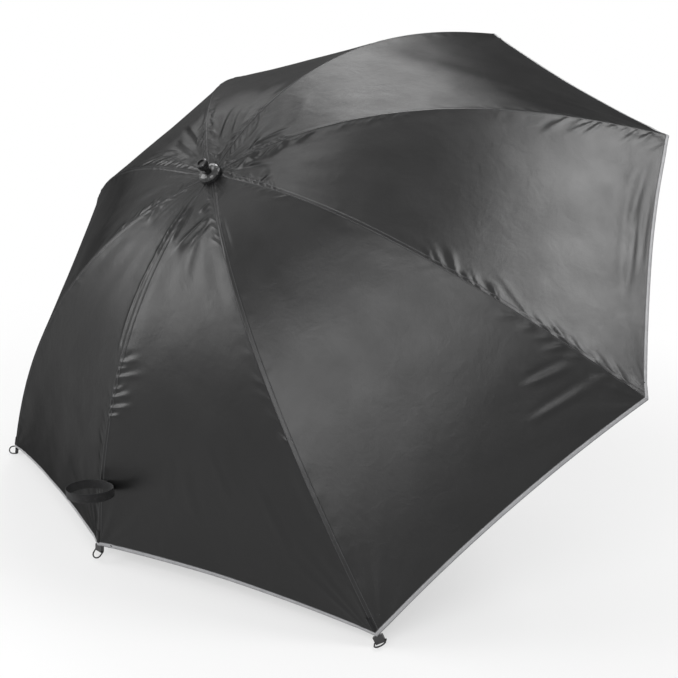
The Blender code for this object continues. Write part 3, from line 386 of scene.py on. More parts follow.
def whole_cover():
    """All the cover's points and normals in one run of columns, so normals match at every cut."""
    rows = np.repeat(U[:, None], COLUMNS, 1)
    sheets = [cover(gore, SHARES[gore], rows) for gore in GORES]
    points = np.concatenate([sheet[:, :-1] for sheet in sheets], 1)
    across = np.roll(points, -1, 1) - np.roll(points, 1, 1)
    normals = unit(np.cross(np.gradient(points, axis=0), across))
    up = TURN @ np.array([0, 0, 1.0])
    return points, -normals if normals[ROW_FACING_UP, 0] @ up < 0 else normals


U = build_rows()
GORES = range(1, SPOKES + 1)
SHARES = {gore: np.stack([column_shares(gore_width(gore, u)) for u in U]) for gore in GORES}
COLUMNS = SHARES[1].shape[1]
MID, GORE_COLUMNS = COLUMNS // 2, COLUMNS - 1
POINTS, NORMALS = whole_cover()


def spoke_slice(array, spoke):
    """Columns from the middle of the gore before a spoke to the middle of the gore after it."""
    first = (spoke - 1) * GORE_COLUMNS - MID
    index = np.arange(first, first + 2 * MID + 1) % (GORE_COLUMNS * SPOKES)
    return array[:, index]


def reach_slice(spoke):
    """Signed distance from the spoke's seam, in metres, for the same columns."""
    before = spoke_before(spoke)
    left = -(1 - SHARES[before][:, MID:-1]) * gore_width(before, U)[:, None]
    right = SHARES[spoke][:, : MID + 1] * gore_width(spoke, U)[:, None]
    return np.concatenate([left, right], 1)


# Materials

# Sizes of threads and stitches, in metres
WEAVE_PITCH = 0.0007
STITCH_PITCH, STITCH_ROWS, STITCH_HALF = 0.0046, (0.0017, 0.0104), 0.00052
RUBBED_LINE, RUBBED_HALF, GROOVE_HALF = 0.0004, 0.0013, 0.0011
TAPE_RIB_PITCH, TAPE_EDGE_LINE, TAPE_EDGE_HALF, HEM_LINE_HALF = 0.0011, 0.0098, 0.0011, 0.0012
TAPE_STITCH_PITCH, TAPE_STITCH_ROW, TAPE_STITCH_HALF = 0.0040, 0.0080, 0.0005
TWILL_PITCH, WEBBING_CORD_PITCH = 0.0016, 0.0026
# How much of a stitch's length shows, and how far the webbing's twill slants, as shares
STITCH_FILLED, TWILL_SLANT = 0.70, 1.4


def emptied(owner, output):
    """Clears the node tree of a material or world; gives the tree and its output's first socket."""
    owner.use_nodes = True
    tree = owner.node_tree
    tree.nodes.clear()
    return tree, tree.nodes.new(output).inputs[0]


class Graph:
    """A few short calls for wiring shader nodes."""

    def __init__(self, name, **sockets):
        self.material = bpy.data.materials.new(name)
        self.tree, self.surface = emptied(self.material, "ShaderNodeOutputMaterial")
        self.shader = self.tree.nodes.new("ShaderNodeBsdfPrincipled")
        self.link(self.shader.outputs[0], self.surface)
        for key, value in sockets.items():
            self.shader.inputs[key.replace("_", " ")].default_value = value
        self.coordinates = self.tree.nodes.new("ShaderNodeTexCoord")

    def link(self, source, target):
        self.tree.links.new(source, target)

    def put(self, socket, value):
        """Links an output to a socket, or sets the socket to a plain value."""
        if hasattr(value, "is_output"):
            self.link(value, socket)
        else:
            socket.default_value = value

    def math(self, operation, first, second=None):
        node = self.tree.nodes.new("ShaderNodeMath")
        node.operation = operation
        for index, value in enumerate((first, second)):
            if value is not None:
                self.put(node.inputs[index], value)
        return node.outputs[0]

    def noise(self, scale, detail, rough, stretch=None, warp=0.0):
        """Noise in the object's own axes; stretch gives each axis' share of the scale."""
        node = self.tree.nodes.new("ShaderNodeTexNoise")
        node.inputs["Scale"].default_value = scale
        node.inputs["Detail"].default_value = detail
        node.inputs["Roughness"].default_value = rough
        node.inputs["Distortion"].default_value = warp
        vector = self.coordinates.outputs["Object"]
        if stretch:
            # The noise is turned with the pole, so its third axis runs along the tubes
            mapping = self.tree.nodes.new("ShaderNodeMapping")
            mapping.vector_type = "TEXTURE"
            mapping.inputs["Rotation"].default_value = (-LEAN, 0.0, 0.0)
            mapping.inputs["Scale"].default_value = [1 / share for share in stretch]
            self.link(vector, mapping.inputs[0])
            vector = mapping.outputs[0]
        self.link(vector, node.inputs["Vector"])
        return node.outputs[0]

    def mix(self, share, first, second):
        node = self.tree.nodes.new("ShaderNodeMix")
        node.data_type = "RGBA"
        self.put(node.inputs[0], share)
        self.put(node.inputs[6], first)
        self.put(node.inputs[7], second)
        return node.outputs[2]

    def range(self, value, low, high, to_low=0.0, to_high=1.0):
        node = self.tree.nodes.new("ShaderNodeMapRange")
        self.link(value, node.inputs[0])
        for index, number in enumerate((low, high, to_low, to_high)):
            node.inputs[index + 1].default_value = number
        return node.outputs[0]

    def bump(self, *layers):
        """Layers of (height, strength, distance in metres), one on top of another."""
        normal = None
        for height, strength, distance in layers:
            node = self.tree.nodes.new("ShaderNodeBump")
            node.inputs["Strength"].default_value = strength
            node.inputs["Distance"].default_value = distance
            self.link(height, node.inputs["Height"])
            if normal is not None:
                self.link(normal, node.inputs["Normal"])
            normal = node.outputs[0]
        self.link(normal, self.shader.inputs["Normal"])

    def dull_at_edges(self, colour, most):
        """Woven threads hide each other's gloss where the cloth is seen edge on."""
        weight = self.tree.nodes.new("ShaderNodeLayerWeight")
        weight.inputs["Blend"].default_value = 0.5
        matt = self.tree.nodes.new("ShaderNodeBsdfDiffuse")
        self.link(colour, matt.inputs["Color"])
        mix = self.tree.nodes.new("ShaderNodeMixShader")
        self.link(self.range(weight.outputs["Facing"], 0.35, 0.75, 0.0, most), mix.inputs[0])
        self.link(self.shader.outputs[0], mix.inputs[1])
        self.link(matt.outputs[0], mix.inputs[2])
        self.link(mix.outputs[0], self.surface)

    def seam_axes(self):
        """Distance from the seam and along it, in metres, from the cloth's own map."""
        node = self.tree.nodes.new("ShaderNodeUVMap")
        node.uv_map = "cloth"
        split = self.tree.nodes.new("ShaderNodeSeparateXYZ")
        self.link(node.outputs[0], split.inputs[0])
        return split.outputs[0], split.outputs[1]

    def line(self, value, centre, half):
        """1 on a line and 0 off it."""
        away = self.math("ABSOLUTE", self.math("SUBTRACT", value, centre))
        return self.range(away, half * 1.25, half * 0.75)

    def dashes(self, value, period, filled):
        """1 on the filled share of each period and 0 between."""
        part = self.math("FRACT", self.math("DIVIDE", value, period))
        away = self.math("ABSOLUTE", self.math("SUBTRACT", part, 0.5))
        return self.range(away, filled / 2 + 0.06, filled / 2 - 0.06)


def weave(graph, axes, pitch):
    """Plain weave: threads that go over and under each other."""
    wave = [graph.math("SINE", graph.math("MULTIPLY", axis, math.pi / pitch)) for axis in axes]
    return graph.math("MULTIPLY", wave[0], wave[1])


def grey(value):
    """A colour this bright, a touch bluer than plain grey."""
    return (value, value, value * 1.03, 1)


def cloth_material(name, light, dark, roughness, seam_lines):
    """Coated cloth, cloudy and finely woven; the outer face also has its seam's stitching."""
    g = Graph(name, IOR=1.5, Specular_IOR_Level=0.34)
    side, along = g.seam_axes()
    slow = g.noise(1.7, 2.0, 0.5)
    clouds = g.noise(9.0, 4.0, 0.55)
    specks = g.noise(620.0, 2.0, 0.6)
    colour = g.mix(g.range(slow, 0.35, 0.65), grey(dark), grey(light))
    colour = g.mix(g.range(clouds, 0.3, 0.75, 0.0, 0.30), colour, grey(light * 1.25))
    colour = g.mix(g.range(specks, 0.45, 0.8, 0.0, 0.35), colour, grey(light * 1.5))
    heights = [
        (g.noise(16.0, 5.0, 0.6, warp=0.4), 0.30, 0.004),
        (g.noise(95.0, 3.0, 0.55), 0.22, 0.0006),
        (weave(g, (side, along), WEAVE_PITCH), 0.22, 0.00012),
    ]
    if seam_lines:
        stitched = g.dashes(along, STITCH_PITCH, STITCH_FILLED)
        rows = [g.line(side, centre, STITCH_HALF) for centre in STITCH_ROWS]
        both = g.math("MAXIMUM", rows[0], rows[1])
        thread = g.math("MULTIPLY", both, stitched)
        rubbed = g.math("MULTIPLY", g.line(side, RUBBED_LINE, RUBBED_HALF), g.noise(60.0, 3.0, 0.6))
        colour = g.mix(g.math("MULTIPLY", rubbed, 0.5), colour, grey(light * 3.2))
        colour = g.mix(g.math("MULTIPLY", thread, 0.6), colour, (0.085, 0.085, 0.09, 1))
        heights.append((thread, 0.7, 0.0004))
        heights.append((g.math("SUBTRACT", 1.0, g.line(side, 0.0, GROOVE_HALF)), 0.9, 0.0011))
    g.link(colour, g.shader.inputs["Base Color"])
    shine = g.range(clouds, 0.25, 0.75, roughness - 0.05, roughness + 0.07)
    g.link(shine, g.shader.inputs["Roughness"])
    g.bump(*heights)
    g.dull_at_edges(colour, 0.86)
    return g.material


def tape_material():
    """Satin binding tape: ribbed across, stitched along its inner edge, with painted shade along its
    inner edge and round its fold at the hem.
    """
    g = Graph("binding_tape", IOR=1.45, Specular_IOR_Level=0.5, Sheen_Weight=0.2, Sheen_Roughness=0.3)
    side, along = g.seam_axes()
    ribs = g.math("SINE", g.math("MULTIPLY", along, 2 * math.pi / TAPE_RIB_PITCH))
    soil = g.noise(38.0, 4.0, 0.6)
    colour = g.mix(g.range(soil, 0.35, 0.75, 0.0, 0.55), (0.32, 0.32, 0.33, 1), (0.20, 0.20, 0.205, 1))
    # Dark lines along the tape's inner edge and round its fold at the hem: painted shade where the
    # tape meets the cloth and where it turns under the hem
    tape_edge_shade = g.line(side, TAPE_EDGE_LINE, TAPE_EDGE_HALF)
    edge = g.line(side, 0.0, HEM_LINE_HALF)
    dark = g.math("MAXIMUM", tape_edge_shade, g.math("MULTIPLY", edge, 0.6))
    colour = g.mix(g.math("MULTIPLY", dark, 0.8), colour, (0.045, 0.045, 0.047, 1))
    stitched = g.dashes(along, TAPE_STITCH_PITCH, STITCH_FILLED)
    thread = g.math("MULTIPLY", g.line(side, TAPE_STITCH_ROW, TAPE_STITCH_HALF), stitched)
    colour = g.mix(g.math("MULTIPLY", thread, 0.8), colour, (0.42, 0.42, 0.43, 1))
    g.link(colour, g.shader.inputs["Base Color"])
    g.link(g.range(soil, 0.3, 0.8, 0.34, 0.5), g.shader.inputs["Roughness"])
    g.bump((ribs, 0.25, 0.00015), (thread, 0.7, 0.0004), (g.noise(70.0, 3.0, 0.5), 0.25, 0.0006))
    return g.material


def webbing_material():
    """Black webbing: a twill of thick threads with bound edges."""
    g = Graph("webbing", IOR=1.45, Specular_IOR_Level=0.25, Sheen_Weight=0.06, Sheen_Roughness=0.4)
    side, along = g.seam_axes()
    slanted = g.math("ADD", along, g.math("MULTIPLY", side, TWILL_SLANT))
    twill = g.math("SINE", g.math("MULTIPLY", slanted, 2 * math.pi / TWILL_PITCH))
    cords = g.math("SINE", g.math("MULTIPLY", side, 2 * math.pi / WEBBING_CORD_PITCH))
    worn = g.noise(120.0, 4.0, 0.6)
    # Lighter on the raised twill threads and darker between them: painted shade in the hollows of the
    # weave
    painted_twill_shade = g.range(twill, -0.6, 1.0, 0.0, 0.5)
    colour = g.mix(painted_twill_shade, (0.006, 0.006, 0.0065, 1), (0.020, 0.020, 0.021, 1))
    colour = g.mix(g.range(worn, 0.5, 0.8, 0.0, 0.5), colour, (0.045, 0.045, 0.045, 1))
    g.link(colour, g.shader.inputs["Base Color"])
    g.link(g.range(worn, 0.3, 0.8, 0.6, 0.85), g.shader.inputs["Roughness"])
    g.bump((cords, 0.35, 0.0003), (twill, 0.6, 0.0004), (worn, 0.2, 0.0003))
    return g.material


def plastic_material(name, tone, roughness, grain, scratches, coat=0.0):
    """Moulded plastic: fine grain or polish, soft waviness, rubbed edges and small scratches."""
    g = Graph(name, IOR=1.49, Coat_Weight=coat, Coat_Roughness=0.06)
    fine = g.noise(grain, 2.0, 0.5)
    slow = g.noise(22.0, 2.0, 0.5)
    lines = g.noise(60.0, 5.0, 0.7, stretch=(1.0, 9.0, 2.0), warp=0.6)
    scratch = g.range(lines, 0.62, 0.66)
    geometry = g.tree.nodes.new("ShaderNodeNewGeometry")
    edge = g.range(geometry.outputs["Pointiness"], 0.52, 0.58)
    colour = g.mix(g.range(slow, 0.3, 0.7), grey(tone * 0.85), grey(tone * 1.2))
    colour = g.mix(g.math("MULTIPLY", scratch, scratches), colour, grey(tone * 3 + 0.03))
    colour = g.mix(g.math("MULTIPLY", edge, 0.35), colour, grey(tone * 2.5 + 0.02))
    g.link(colour, g.shader.inputs["Base Color"])
    g.link(g.range(slow, 0.3, 0.7, roughness * 0.85, roughness * 1.2), g.shader.inputs["Roughness"])
    g.bump((slow, 0.10, 0.0015), (fine, 0.22, 0.00025), (scratch, 0.10 * scratches, 0.0001))
    return g.material


def metal_material(name, tone, roughness, metallic, along, gloss=0.5):
    """Drawn or painted metal: lines along the tube, a little tarnish and rubbed spots."""
    g = Graph(name, Metallic=metallic, IOR=1.5, Specular_IOR_Level=gloss)
    lines = g.noise(240.0, 3.0, 0.6, stretch=along)
    stain = g.noise(26.0, 4.0, 0.6)
    fine = g.noise(900.0, 2.0, 0.5)
    colour = g.mix(g.range(stain, 0.35, 0.75), grey(tone), grey(tone * 0.72))
    colour = g.mix(g.range(lines, 0.4, 0.7, 0.0, 0.35), colour, grey(min(tone * 1.35, 0.9)))
    g.link(colour, g.shader.inputs["Base Color"])
    g.link(g.range(stain, 0.3, 0.8, roughness * 0.8, roughness * 1.35), g.shader.inputs["Roughness"])
    g.bump((lines, 0.07, 0.0002), (fine, 0.05, 0.0001))
    return g.material


def fibreglass_material():
    """Pultruded rod: long fibres under a smooth dark skin."""
    g = Graph("fibreglass", IOR=1.52, Coat_Weight=0.3, Coat_Roughness=0.15)
    fibres = g.noise(420.0, 4.0, 0.65, stretch=(1.0, 1.0, 0.25))
    spots = g.noise(30.0, 3.0, 0.5)
    colour = g.mix(g.range(fibres, 0.35, 0.75), (0.020, 0.020, 0.022, 1), (0.052, 0.052, 0.056, 1))
    colour = g.mix(g.range(spots, 0.55, 0.8, 0.0, 0.4), colour, (0.075, 0.075, 0.078, 1))
    g.link(colour, g.shader.inputs["Base Color"])
    g.link(g.range(spots, 0.3, 0.7, 0.30, 0.45), g.shader.inputs["Roughness"])
    g.bump((fibres, 0.25, 0.0002))
    return g.material


OUTER = cloth_material("cover_outer", 0.0050, 0.0032, 0.33, True)
INNER = cloth_material("cover_inner", 0.034, 0.026, 0.55, False)
TAPE = tape_material()
WEBBING = webbing_material()
NYLON = plastic_material("black_nylon", 0.012, 0.45, 700.0, 0.4)
GLOSS = plastic_material("gloss_black", 0.006, 0.22, 260.0, 0.2)
STEEL = metal_material("black_steel", 0.055, 0.34, 0.6, (1.0, 1.0, 0.25))
RING_STEEL = metal_material("ring_steel", 0.006, 0.45, 0.0, (1.0, 1.0, 1.0), 0.3)
ALUMINIUM = metal_material("grey_aluminium", 0.30, 0.46, 1.0, (1.0, 1.0, 0.04))
FIBRE = fibreglass_material()

# The material of each CAD solid, by how its name begins; the first that fits counts
LOOKS = (
    ("rib_clip_", NYLON), ("rib_", FIBRE), ("stretcher_", STEEL), ("tip_", NYLON),
    ("tie_ring_", RING_STEEL), ("crown", NYLON), ("top_cap", GLOSS), ("finial", GLOSS),
    ("upper_pole", ALUMINIUM), ("knuckle_", NYLON), ("tilt_bolt", RING_STEEL), ("tilt_knob", NYLON),
    ("runner", NYLON), ("lower_pole", ALUMINIUM), ("clamp_collar", NYLON), ("clamp_knob", NYLON),
    ("inner_pole", ALUMINIUM), ("ground_spike", RING_STEEL),
)


def dress_solids():
    """Gives each CAD solid the first material whose beginning of a name it has."""
    for name, item in frame["nodes"].items():
        material = next((material for start, material in LOOKS if name.startswith(start)), None)
        if material:
            item.data.materials.clear()
            item.data.materials.append(material)


dress_solids()


# Mesh pieces
def mesh_piece(name, points, faces, normals=None, uvs=None, materials=(), indices=None):
    """A smooth mesh object; its map holds metres across and along the cloth."""
    mesh = bpy.data.meshes.new(name)
    mesh.from_pydata(points.tolist(), [], faces.tolist())
    for material in materials:
        mesh.materials.append(material)
    if indices is not None:
        mesh.polygons.foreach_set("material_index", np.asarray(indices, np.int32))
    mesh.polygons.foreach_set("use_smooth", np.ones(len(mesh.polygons), bool))
    if uvs is not None:
        layer = mesh.uv_layers.new(name="cloth")
        loops = np.zeros(len(mesh.loops), np.int32)
        mesh.loops.foreach_get("vertex_index", loops)
        layer.data.foreach_set("uv", uvs[loops].astype(np.float32).ravel())
    mesh.update()
    if normals is not None:
        mesh.normals_split_custom_set_from_vertices(normals.tolist())
    item = bpy.data.objects.new(name, mesh)
    bpy.context.scene.collection.objects.link(item)
    return item


def cloth_map(side, along):
    """One pair of metres for each point of a grid: away from the seam or edge, and along it."""
    return np.stack(np.broadcast_arrays(side, along), -1).reshape(-1, 2)


def grid_faces(rows, columns, offset=0, flip=False):
    r, c = np.meshgrid(np.arange(rows - 1), np.arange(columns - 1), indexing="ij")
    a = (r * columns + c).ravel() + offset
    quads = np.stack([a, a + columns, a + columns + 1, a + 1], 1)
    return quads[:, ::-1] if flip else quads


def sheet_area(points, faces):
    """The area of a sheet's quads, each as two triangles."""
    p = points[faces]
    first = np.cross(p[:, 1] - p[:, 0], p[:, 2] - p[:, 0])
    second = np.cross(p[:, 2] - p[:, 0], p[:, 3] - p[:, 0])
    return float((np.linalg.norm(first, axis=1) + np.linalg.norm(second, axis=1)).sum() / 2)


def folded_share(spoke, u):
    """How wide the cloth at this row is when the ribs are folded, as a share of its full width."""
    arc = own_arc(spoke, np.array([u]))
    radius = float(np.interp(arc, TABLE, RADII)[0])
    height = float(np.interp(arc, TABLE, HEIGHTS)[0])
    middle = radius * math.cos(math.pi / SPOKES) ** 2
    fold = math.radians(FOLD_DEGREES)
    out, down = middle - HINGE_RADIUS, height - HINGE_HEIGHT
    inward = HINGE_RADIUS + out * math.cos(fold) + down * math.sin(fold)
    return inward / middle


def ride_and_gather(item, spoke, start, end):
    """Carries cloth between these rows on its rib and gives it a mesh of its own; its folded width is
    worked out but not used.
    """
    keep = min(1.0, folded_share(spoke, start + KEEP_PLACE * (end - start)) + KEEP_SPARE)
    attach(item, f"rib_{spoke}")
    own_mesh(item)


def cover_strip(name, points, normals, reach, along):
    """A strip of cloth with its outer and inner face, and the area of one face."""
    rows, columns = points.shape[:2]
    outer, flat_normals = points.reshape(-1, 3), normals.reshape(-1, 3)
    inner = (points - CLOTH * normals).reshape(-1, 3)
    faces = [grid_faces(rows, columns), grid_faces(rows, columns, rows * columns, True)]
    if (np.cross(outer[columns] - outer[0], outer[1] - outer[0]) @ normals[0, 0]) <= 0:
        faces = [faces[0][:, ::-1], faces[1][:, ::-1]]
    uv = cloth_map(reach, along[:, None])
    item = mesh_piece(
        name,
        np.concatenate([outer, inner]),
        np.concatenate(faces),
        np.concatenate([flat_normals, -flat_normals]),
        np.concatenate([uv, uv]),
        (OUTER, INNER),
        [0] * len(faces[0]) + [1] * len(faces[1]),
    )
    return item, sheet_area(outer, grid_faces(rows, columns))


def build_spoke(spoke):
    """The cloth over one rib, cut into strips that follow it, and the binding at its hem."""
    points, normals = spoke_slice(POINTS, spoke), spoke_slice(NORMALS, spoke)
    reach = reach_slice(spoke)
    for number, (start, end) in enumerate(zip(ZONES, ZONES[1:])):
        rows = slice(int(np.argmin(abs(U - start))), int(np.argmin(abs(U - end))) + 1)
        name = f"cover_{spoke}_{number:02d}"
        item, area = cover_strip(name, points[rows], normals[rows], reach[rows], U[rows])
        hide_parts(f"canopy_panel_{spoke}")
        length = end - start if spoke != 1 else float(np.diff(own_arc(1, np.array([start, end])))[0])
        if number == 0:
            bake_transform(item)
        else:
            ride_and_gather(item, spoke, start, end)
    build_binding(spoke, points, normals)


TAPE_THICK, TAPE_FLAT_WIDTH = 0.0006, 0.0235
# The binding's section from its outer edge round the hem to its inner edge: metres in from the hem,
# then up from the outer face, or down from the inner one, in thicknesses
TAPE_OUTER = ((0.0104, 0.2), (0.0100, 1), (0.0055, 1.6), (0.0010, 1.5), (-0.0010, 0))
TAPE_PROFILE = np.array(
    [(into, TAPE_THICK * up) for into, up in TAPE_OUTER]
    + [(into, -CLOTH - TAPE_THICK * up) for into, up in reversed(TAPE_OUTER)]
)


def build_binding(spoke, points, normals):
    """Binding folded over the hem: 10 mm on each face."""
    hem, inner = points[-1], points[-3]
    inward = unit(inner - hem)
    grid = np.stack([hem + inward * into + normals[-1] * up for into, up in TAPE_PROFILE])
    distance = np.concatenate([[0], np.cumsum(np.linalg.norm(np.diff(hem, axis=0), axis=1))])
    uv = cloth_map(TAPE_PROFILE[:, :1], distance[None])
    faces = grid_faces(*grid.shape[:2])
    item = mesh_piece(f"binding_{spoke}", grid.reshape(-1, 3), faces, None, uv, (TAPE,))
    ride_and_gather(item, spoke, ZONES[-2], ZONES[-1])


for spoke_number in GORES:
    build_spoke(spoke_number)


HUB_STEPS, HUB_FLAT = 64, 0.07


def build_hub():
    """The middle of the cover, pressed flat between crown and cap."""
    angles = [azimuth(1) + 2 * math.pi * step / HUB_STEPS for step in range(HUB_STEPS + 1)]
    octagon = []
    for angle in angles:
        part = (angle - azimuth(1)) % (2 * math.pi / SPOKES) - math.pi / SPOKES
        edge = SEAM_RADIUS * math.cos(math.pi / SPOKES) / math.cos(part)
        ends = (HOLE_RADIUS, edge)
        octagon.append([(r * math.cos(angle), r * math.sin(angle), SEAM_HEIGHT) for r in ends])
    grid = world(np.array(octagon)).transpose(1, 0, 2)
    points, faces = grid.reshape(-1, 3), grid_faces(2, HUB_STEPS + 1)
    # One place on the map, away from the seam lines, since no seam crosses this piece
    uv = np.full((len(points), 2), 0.05)
    item = mesh_piece("cover_hub", points, faces, None, uv, (OUTER,))
    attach(item, "pole_head")


build_hub()


# The webbing loop's turn in degrees, and its place from the cover's origin; its X runs along the
# cover, its Y out from it and its Z down
LOOP_DEGREES = (-4.699, -175.586, 17.673)
LOOP_TURN = np.array(Euler(np.radians(LOOP_DEGREES)).to_matrix())
LOOP_PLACE = SHIFT + np.array([-0.0144, 0.345165, -0.79230])
LOOP_DOWN = np.array([0.0, 0.0, 1.0])
# The loop's half sizes, its webbing, how far it stands off the cover and how far it droops
LOOP_HALF_LENGTH, LOOP_HALF_REACH, LOOP_HALF_WIDTH, WEB = 0.062, 0.057, 0.0118, 0.0016
LOOP_OFF, LOOP_DROOP, LOOP_WAVE, LOOP_STEPS = 0.0008, 0.0045, 0.0008, 144
# The doubled end that is box stitched through the loop and the cover
PATCH_HALF, PATCH_EDGE, PATCH_STEPS = 0.0095, 0.0100, 13
PATCH_THICK, PATCH_WIDER, PATCH_OFF, PATCH_LEAST = 0.0030, 0.0004, 0.0006, 0.0002


def band_section(half, thick):
    """Points round a flat band's section, as (across, out), with rounded edges."""
    face = [(-0.97, 0.0), (-0.6, 0.06), (-0.2, 0.10), (0.2, 0.10), (0.6, 0.06), (0.97, 0.0)]
    back = [(0.97, -1.0), (0.6, -1.04), (0.2, -1.06), (-0.2, -1.06), (-0.6, -1.04), (-0.97, -1.0)]
    right, left = [(1.0, -0.28), (1.0, -0.72)], [(-1.0, -0.72), (-1.0, -0.28)]
    return np.array([(w * half, t * thick) for w, t in face + right + back + left])


def swept(centre, out, across, section):
    """A closed section carried along a path: rows are places along it."""
    sideways, outward = section[None, :, :1], section[None, :, 1:]
    return centre[:, None] + across[:, None] * sideways + out[:, None] * outward


def tube_faces(rows, columns, closed):
    """Quads round a swept section; a closed tube also joins its last row to its first."""
    r, c = np.meshgrid(np.arange(rows if closed else rows - 1), np.arange(columns), indexing="ij")
    here, after, beside = r * columns, (r + 1) % rows * columns, (c + 1) % columns
    return np.stack([here + c, after + c, after + beside, here + beside], -1).reshape(-1, 4)


def webbing_piece(name, grid, section, along, closed):
    """Webbing on the cover, from a grid in the loop's own axes."""
    points = (grid @ LOOP_TURN.T + LOOP_PLACE).reshape(-1, 3)
    uv = cloth_map(section[None, :, 0] + LOOP_HALF_WIDTH, along[:, None])
    faces = tube_faces(len(along), len(section), closed)
    return mesh_piece(name, points, faces, None, uv, (WEBBING,))


def build_loop():
    """The standing loop; gives its piece and its length round."""
    turns = np.linspace(0, 2 * math.pi, LOOP_STEPS + 1)[:-1]
    wobble = 1 + 0.018 * np.sin(2 * turns + 0.7) + 0.012 * np.sin(3 * turns + 2.0)
    x = LOOP_HALF_LENGTH * np.sin(turns) * wobble
    y = LOOP_OFF + WEB + LOOP_HALF_REACH * (1 - np.cos(turns))
    drop = LOOP_DROOP * (y / (2 * LOOP_HALF_REACH)) ** 1.5 + LOOP_WAVE * np.sin(2 * turns)
    path = np.stack([x, y, drop], -1)
    along = unit(np.roll(path, -1, 0) - np.roll(path, 1, 0))
    out = unit(np.cross(along, LOOP_DOWN))
    from_middle = path - np.array([0, LOOP_HALF_REACH, 0])
    out = np.where((from_middle * out).sum(1, keepdims=True) < 0, -out, out)
    cant = np.radians(5.0 * np.sin(turns + 0.6) + 3.0 * np.sin(3 * turns))[:, None]
    across = LOOP_DOWN * np.cos(cant) + out * np.sin(cant)
    out = out * np.cos(cant) - LOOP_DOWN * np.sin(cant)
    section = band_section(LOOP_HALF_WIDTH, WEB)
    length = np.concatenate([[0], np.cumsum(np.linalg.norm(np.diff(path, axis=0), axis=1))])
    loop = webbing_piece("strap_loop", swept(path, out, across, section), section, length, True)
    return loop, float(length[-1] + length[1])


def build_patch():
    """The loop's doubled end, arched over its stitches."""
    steps = np.linspace(-PATCH_HALF, PATCH_HALF, PATCH_STEPS)
    arch = np.clip(1 - (steps / PATCH_EDGE) ** 6, 0, 1)
    lift = PATCH_OFF + PATCH_THICK * arch + 0.0003 * np.sin(steps * 900)
    centre = np.stack([steps, lift, np.zeros_like(steps)], -1)
    out = np.repeat(np.array([[0.0, 1.0, 0.0]]), len(steps), 0)
    across = np.repeat(LOOP_DOWN[None], len(steps), 0)
    section = band_section(LOOP_HALF_WIDTH + PATCH_WIDER, PATCH_THICK)
    grid = swept(centre, out, across, section)
    grid[..., 1] = np.maximum(grid[..., 1], PATCH_LEAST)
    return webbing_piece("strap_patch", grid, section, steps, False)


def build_strap():
    """The webbing loop on the back seam, and the patch that holds it."""
    loop, total = build_loop()
    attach(loop, "rib_1")
    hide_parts("storage_strap")
    patch = build_patch()
    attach(patch, "rib_1")


# The corner tabs: where they start and stop before the rib's end, and their width, in metres
TAB_START, TAB_STOP, TAB_HALF, TAB_FLAT_WIDTH = 0.046, 0.0112, 0.0075, 0.0165
TAB_ROWS, TAB_COLUMNS, TAB_EDGE = 13, 9, 0.0078
TAB_LOW, TAB_RIM, TAB_BULGE = 0.0003, 0.0012, 0.0008
TAB_SPOKES = (1, 2, 8)


def build_corner_tab(spoke):
    """A short webbing tab sewn over the seam's end, which takes the pull of the tie ring."""
    before = spoke_before(spoke)
    length = TAB_START * RIB_LENGTH / length_of(spoke)
    u = np.linspace(RIB_LENGTH - length, RIB_LENGTH - TAB_STOP, TAB_ROWS)
    reach = np.linspace(-TAB_HALF, TAB_HALF, TAB_COLUMNS)
    rows = []
    for r in reach:
        gore = spoke if r >= 0 else before
        share = np.abs(r) / gore_width(gore, u)
        rows.append(cover(gore, share if r >= 0 else 1 - share, u))
    grid = np.stack(rows, 1)
    normal = TURN @ seam_normal(spoke, np.array(length_of(spoke)))
    edge = np.minimum(1.0, 5 * (1 - np.abs(reach) / TAB_EDGE))[None, :, None]
    top = grid + normal * (TAB_RIM + TAB_BULGE * edge)
    low = grid + normal * TAB_LOW
    points = np.concatenate([low[:, :1], top, low[:, -1:]], 1)
    uv = cloth_map(np.pad(reach, 1, "edge")[None] + TAB_HALF, u[:, None])
    faces = grid_faces(*points.shape[:2])
    item = mesh_piece(f"corner_tab_{spoke}", points.reshape(-1, 3), faces, None, uv, (WEBBING,))
    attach(item, f"rib_{spoke}")


build_strap()
for spoke_number in TAB_SPOKES:
    build_corner_tab(spoke_number)

# Camera, floor and light

# The camera that the fit of the ribs gave, from the cover's origin
CAMERA_PLACE = ORIGIN + Vector((-2.39121138, 2.02044282, 0.46497637))
CAMERA_TURN = (1.2856982825, -0.0440565945, -2.3769522576)
SENSOR_MM, LENS_MM = 36.0, 62.934137
CLIP_NEAR, CLIP_FAR = 0.05, 60.0

# The floor's half size, its height just below the object, its tone, and where it turns white
FLOOR_HALF, FLOOR_HEIGHT, FLOOR_TONE = 9.0, -0.001, 0.80
FADE_NEAR, FADE_FAR, WHITE_NEAR, WHITE_FAR = 0.9, 2.6, 0.55, 1.0
ROOM_STRENGTH, WHITE_STRENGTH = 0.20, 1.0

# Soft boxes: name, azimuth and elevation in degrees, distance and size in metres, radiance
LIT_POINT = Vector((-0.1, 0.3, 0.75))
LAMPS = (
    ("key", -139, 44, 3.9, (1.9, 1.8), 8.6),
    ("back", -50, 43, 3.9, (2.2, 2.0), 5.6),
    ("rim", -20, 28, 4.0, (1.8, 1.5), 2.6),
    ("side", 44, 21, 3.9, (3.3, 2.0), 5.0),
    ("top", 14, 66, 3.4, (1.2, 1.2), 3.8),
    ("front", 124, 24, 3.4, (3.2, 2.2), 4.6),
)


def build_camera():
    """The camera of the photograph."""
    camera = bpy.data.objects.new("camera", bpy.data.cameras.new("camera"))
    bpy.context.scene.collection.objects.link(camera)
    camera.location = CAMERA_PLACE
    camera.rotation_euler = CAMERA_TURN
    camera.data.sensor_width, camera.data.lens = SENSOR_MM, LENS_MM
    camera.data.clip_start, camera.data.clip_end = CLIP_NEAR, CLIP_FAR
    bpy.context.scene.camera = camera


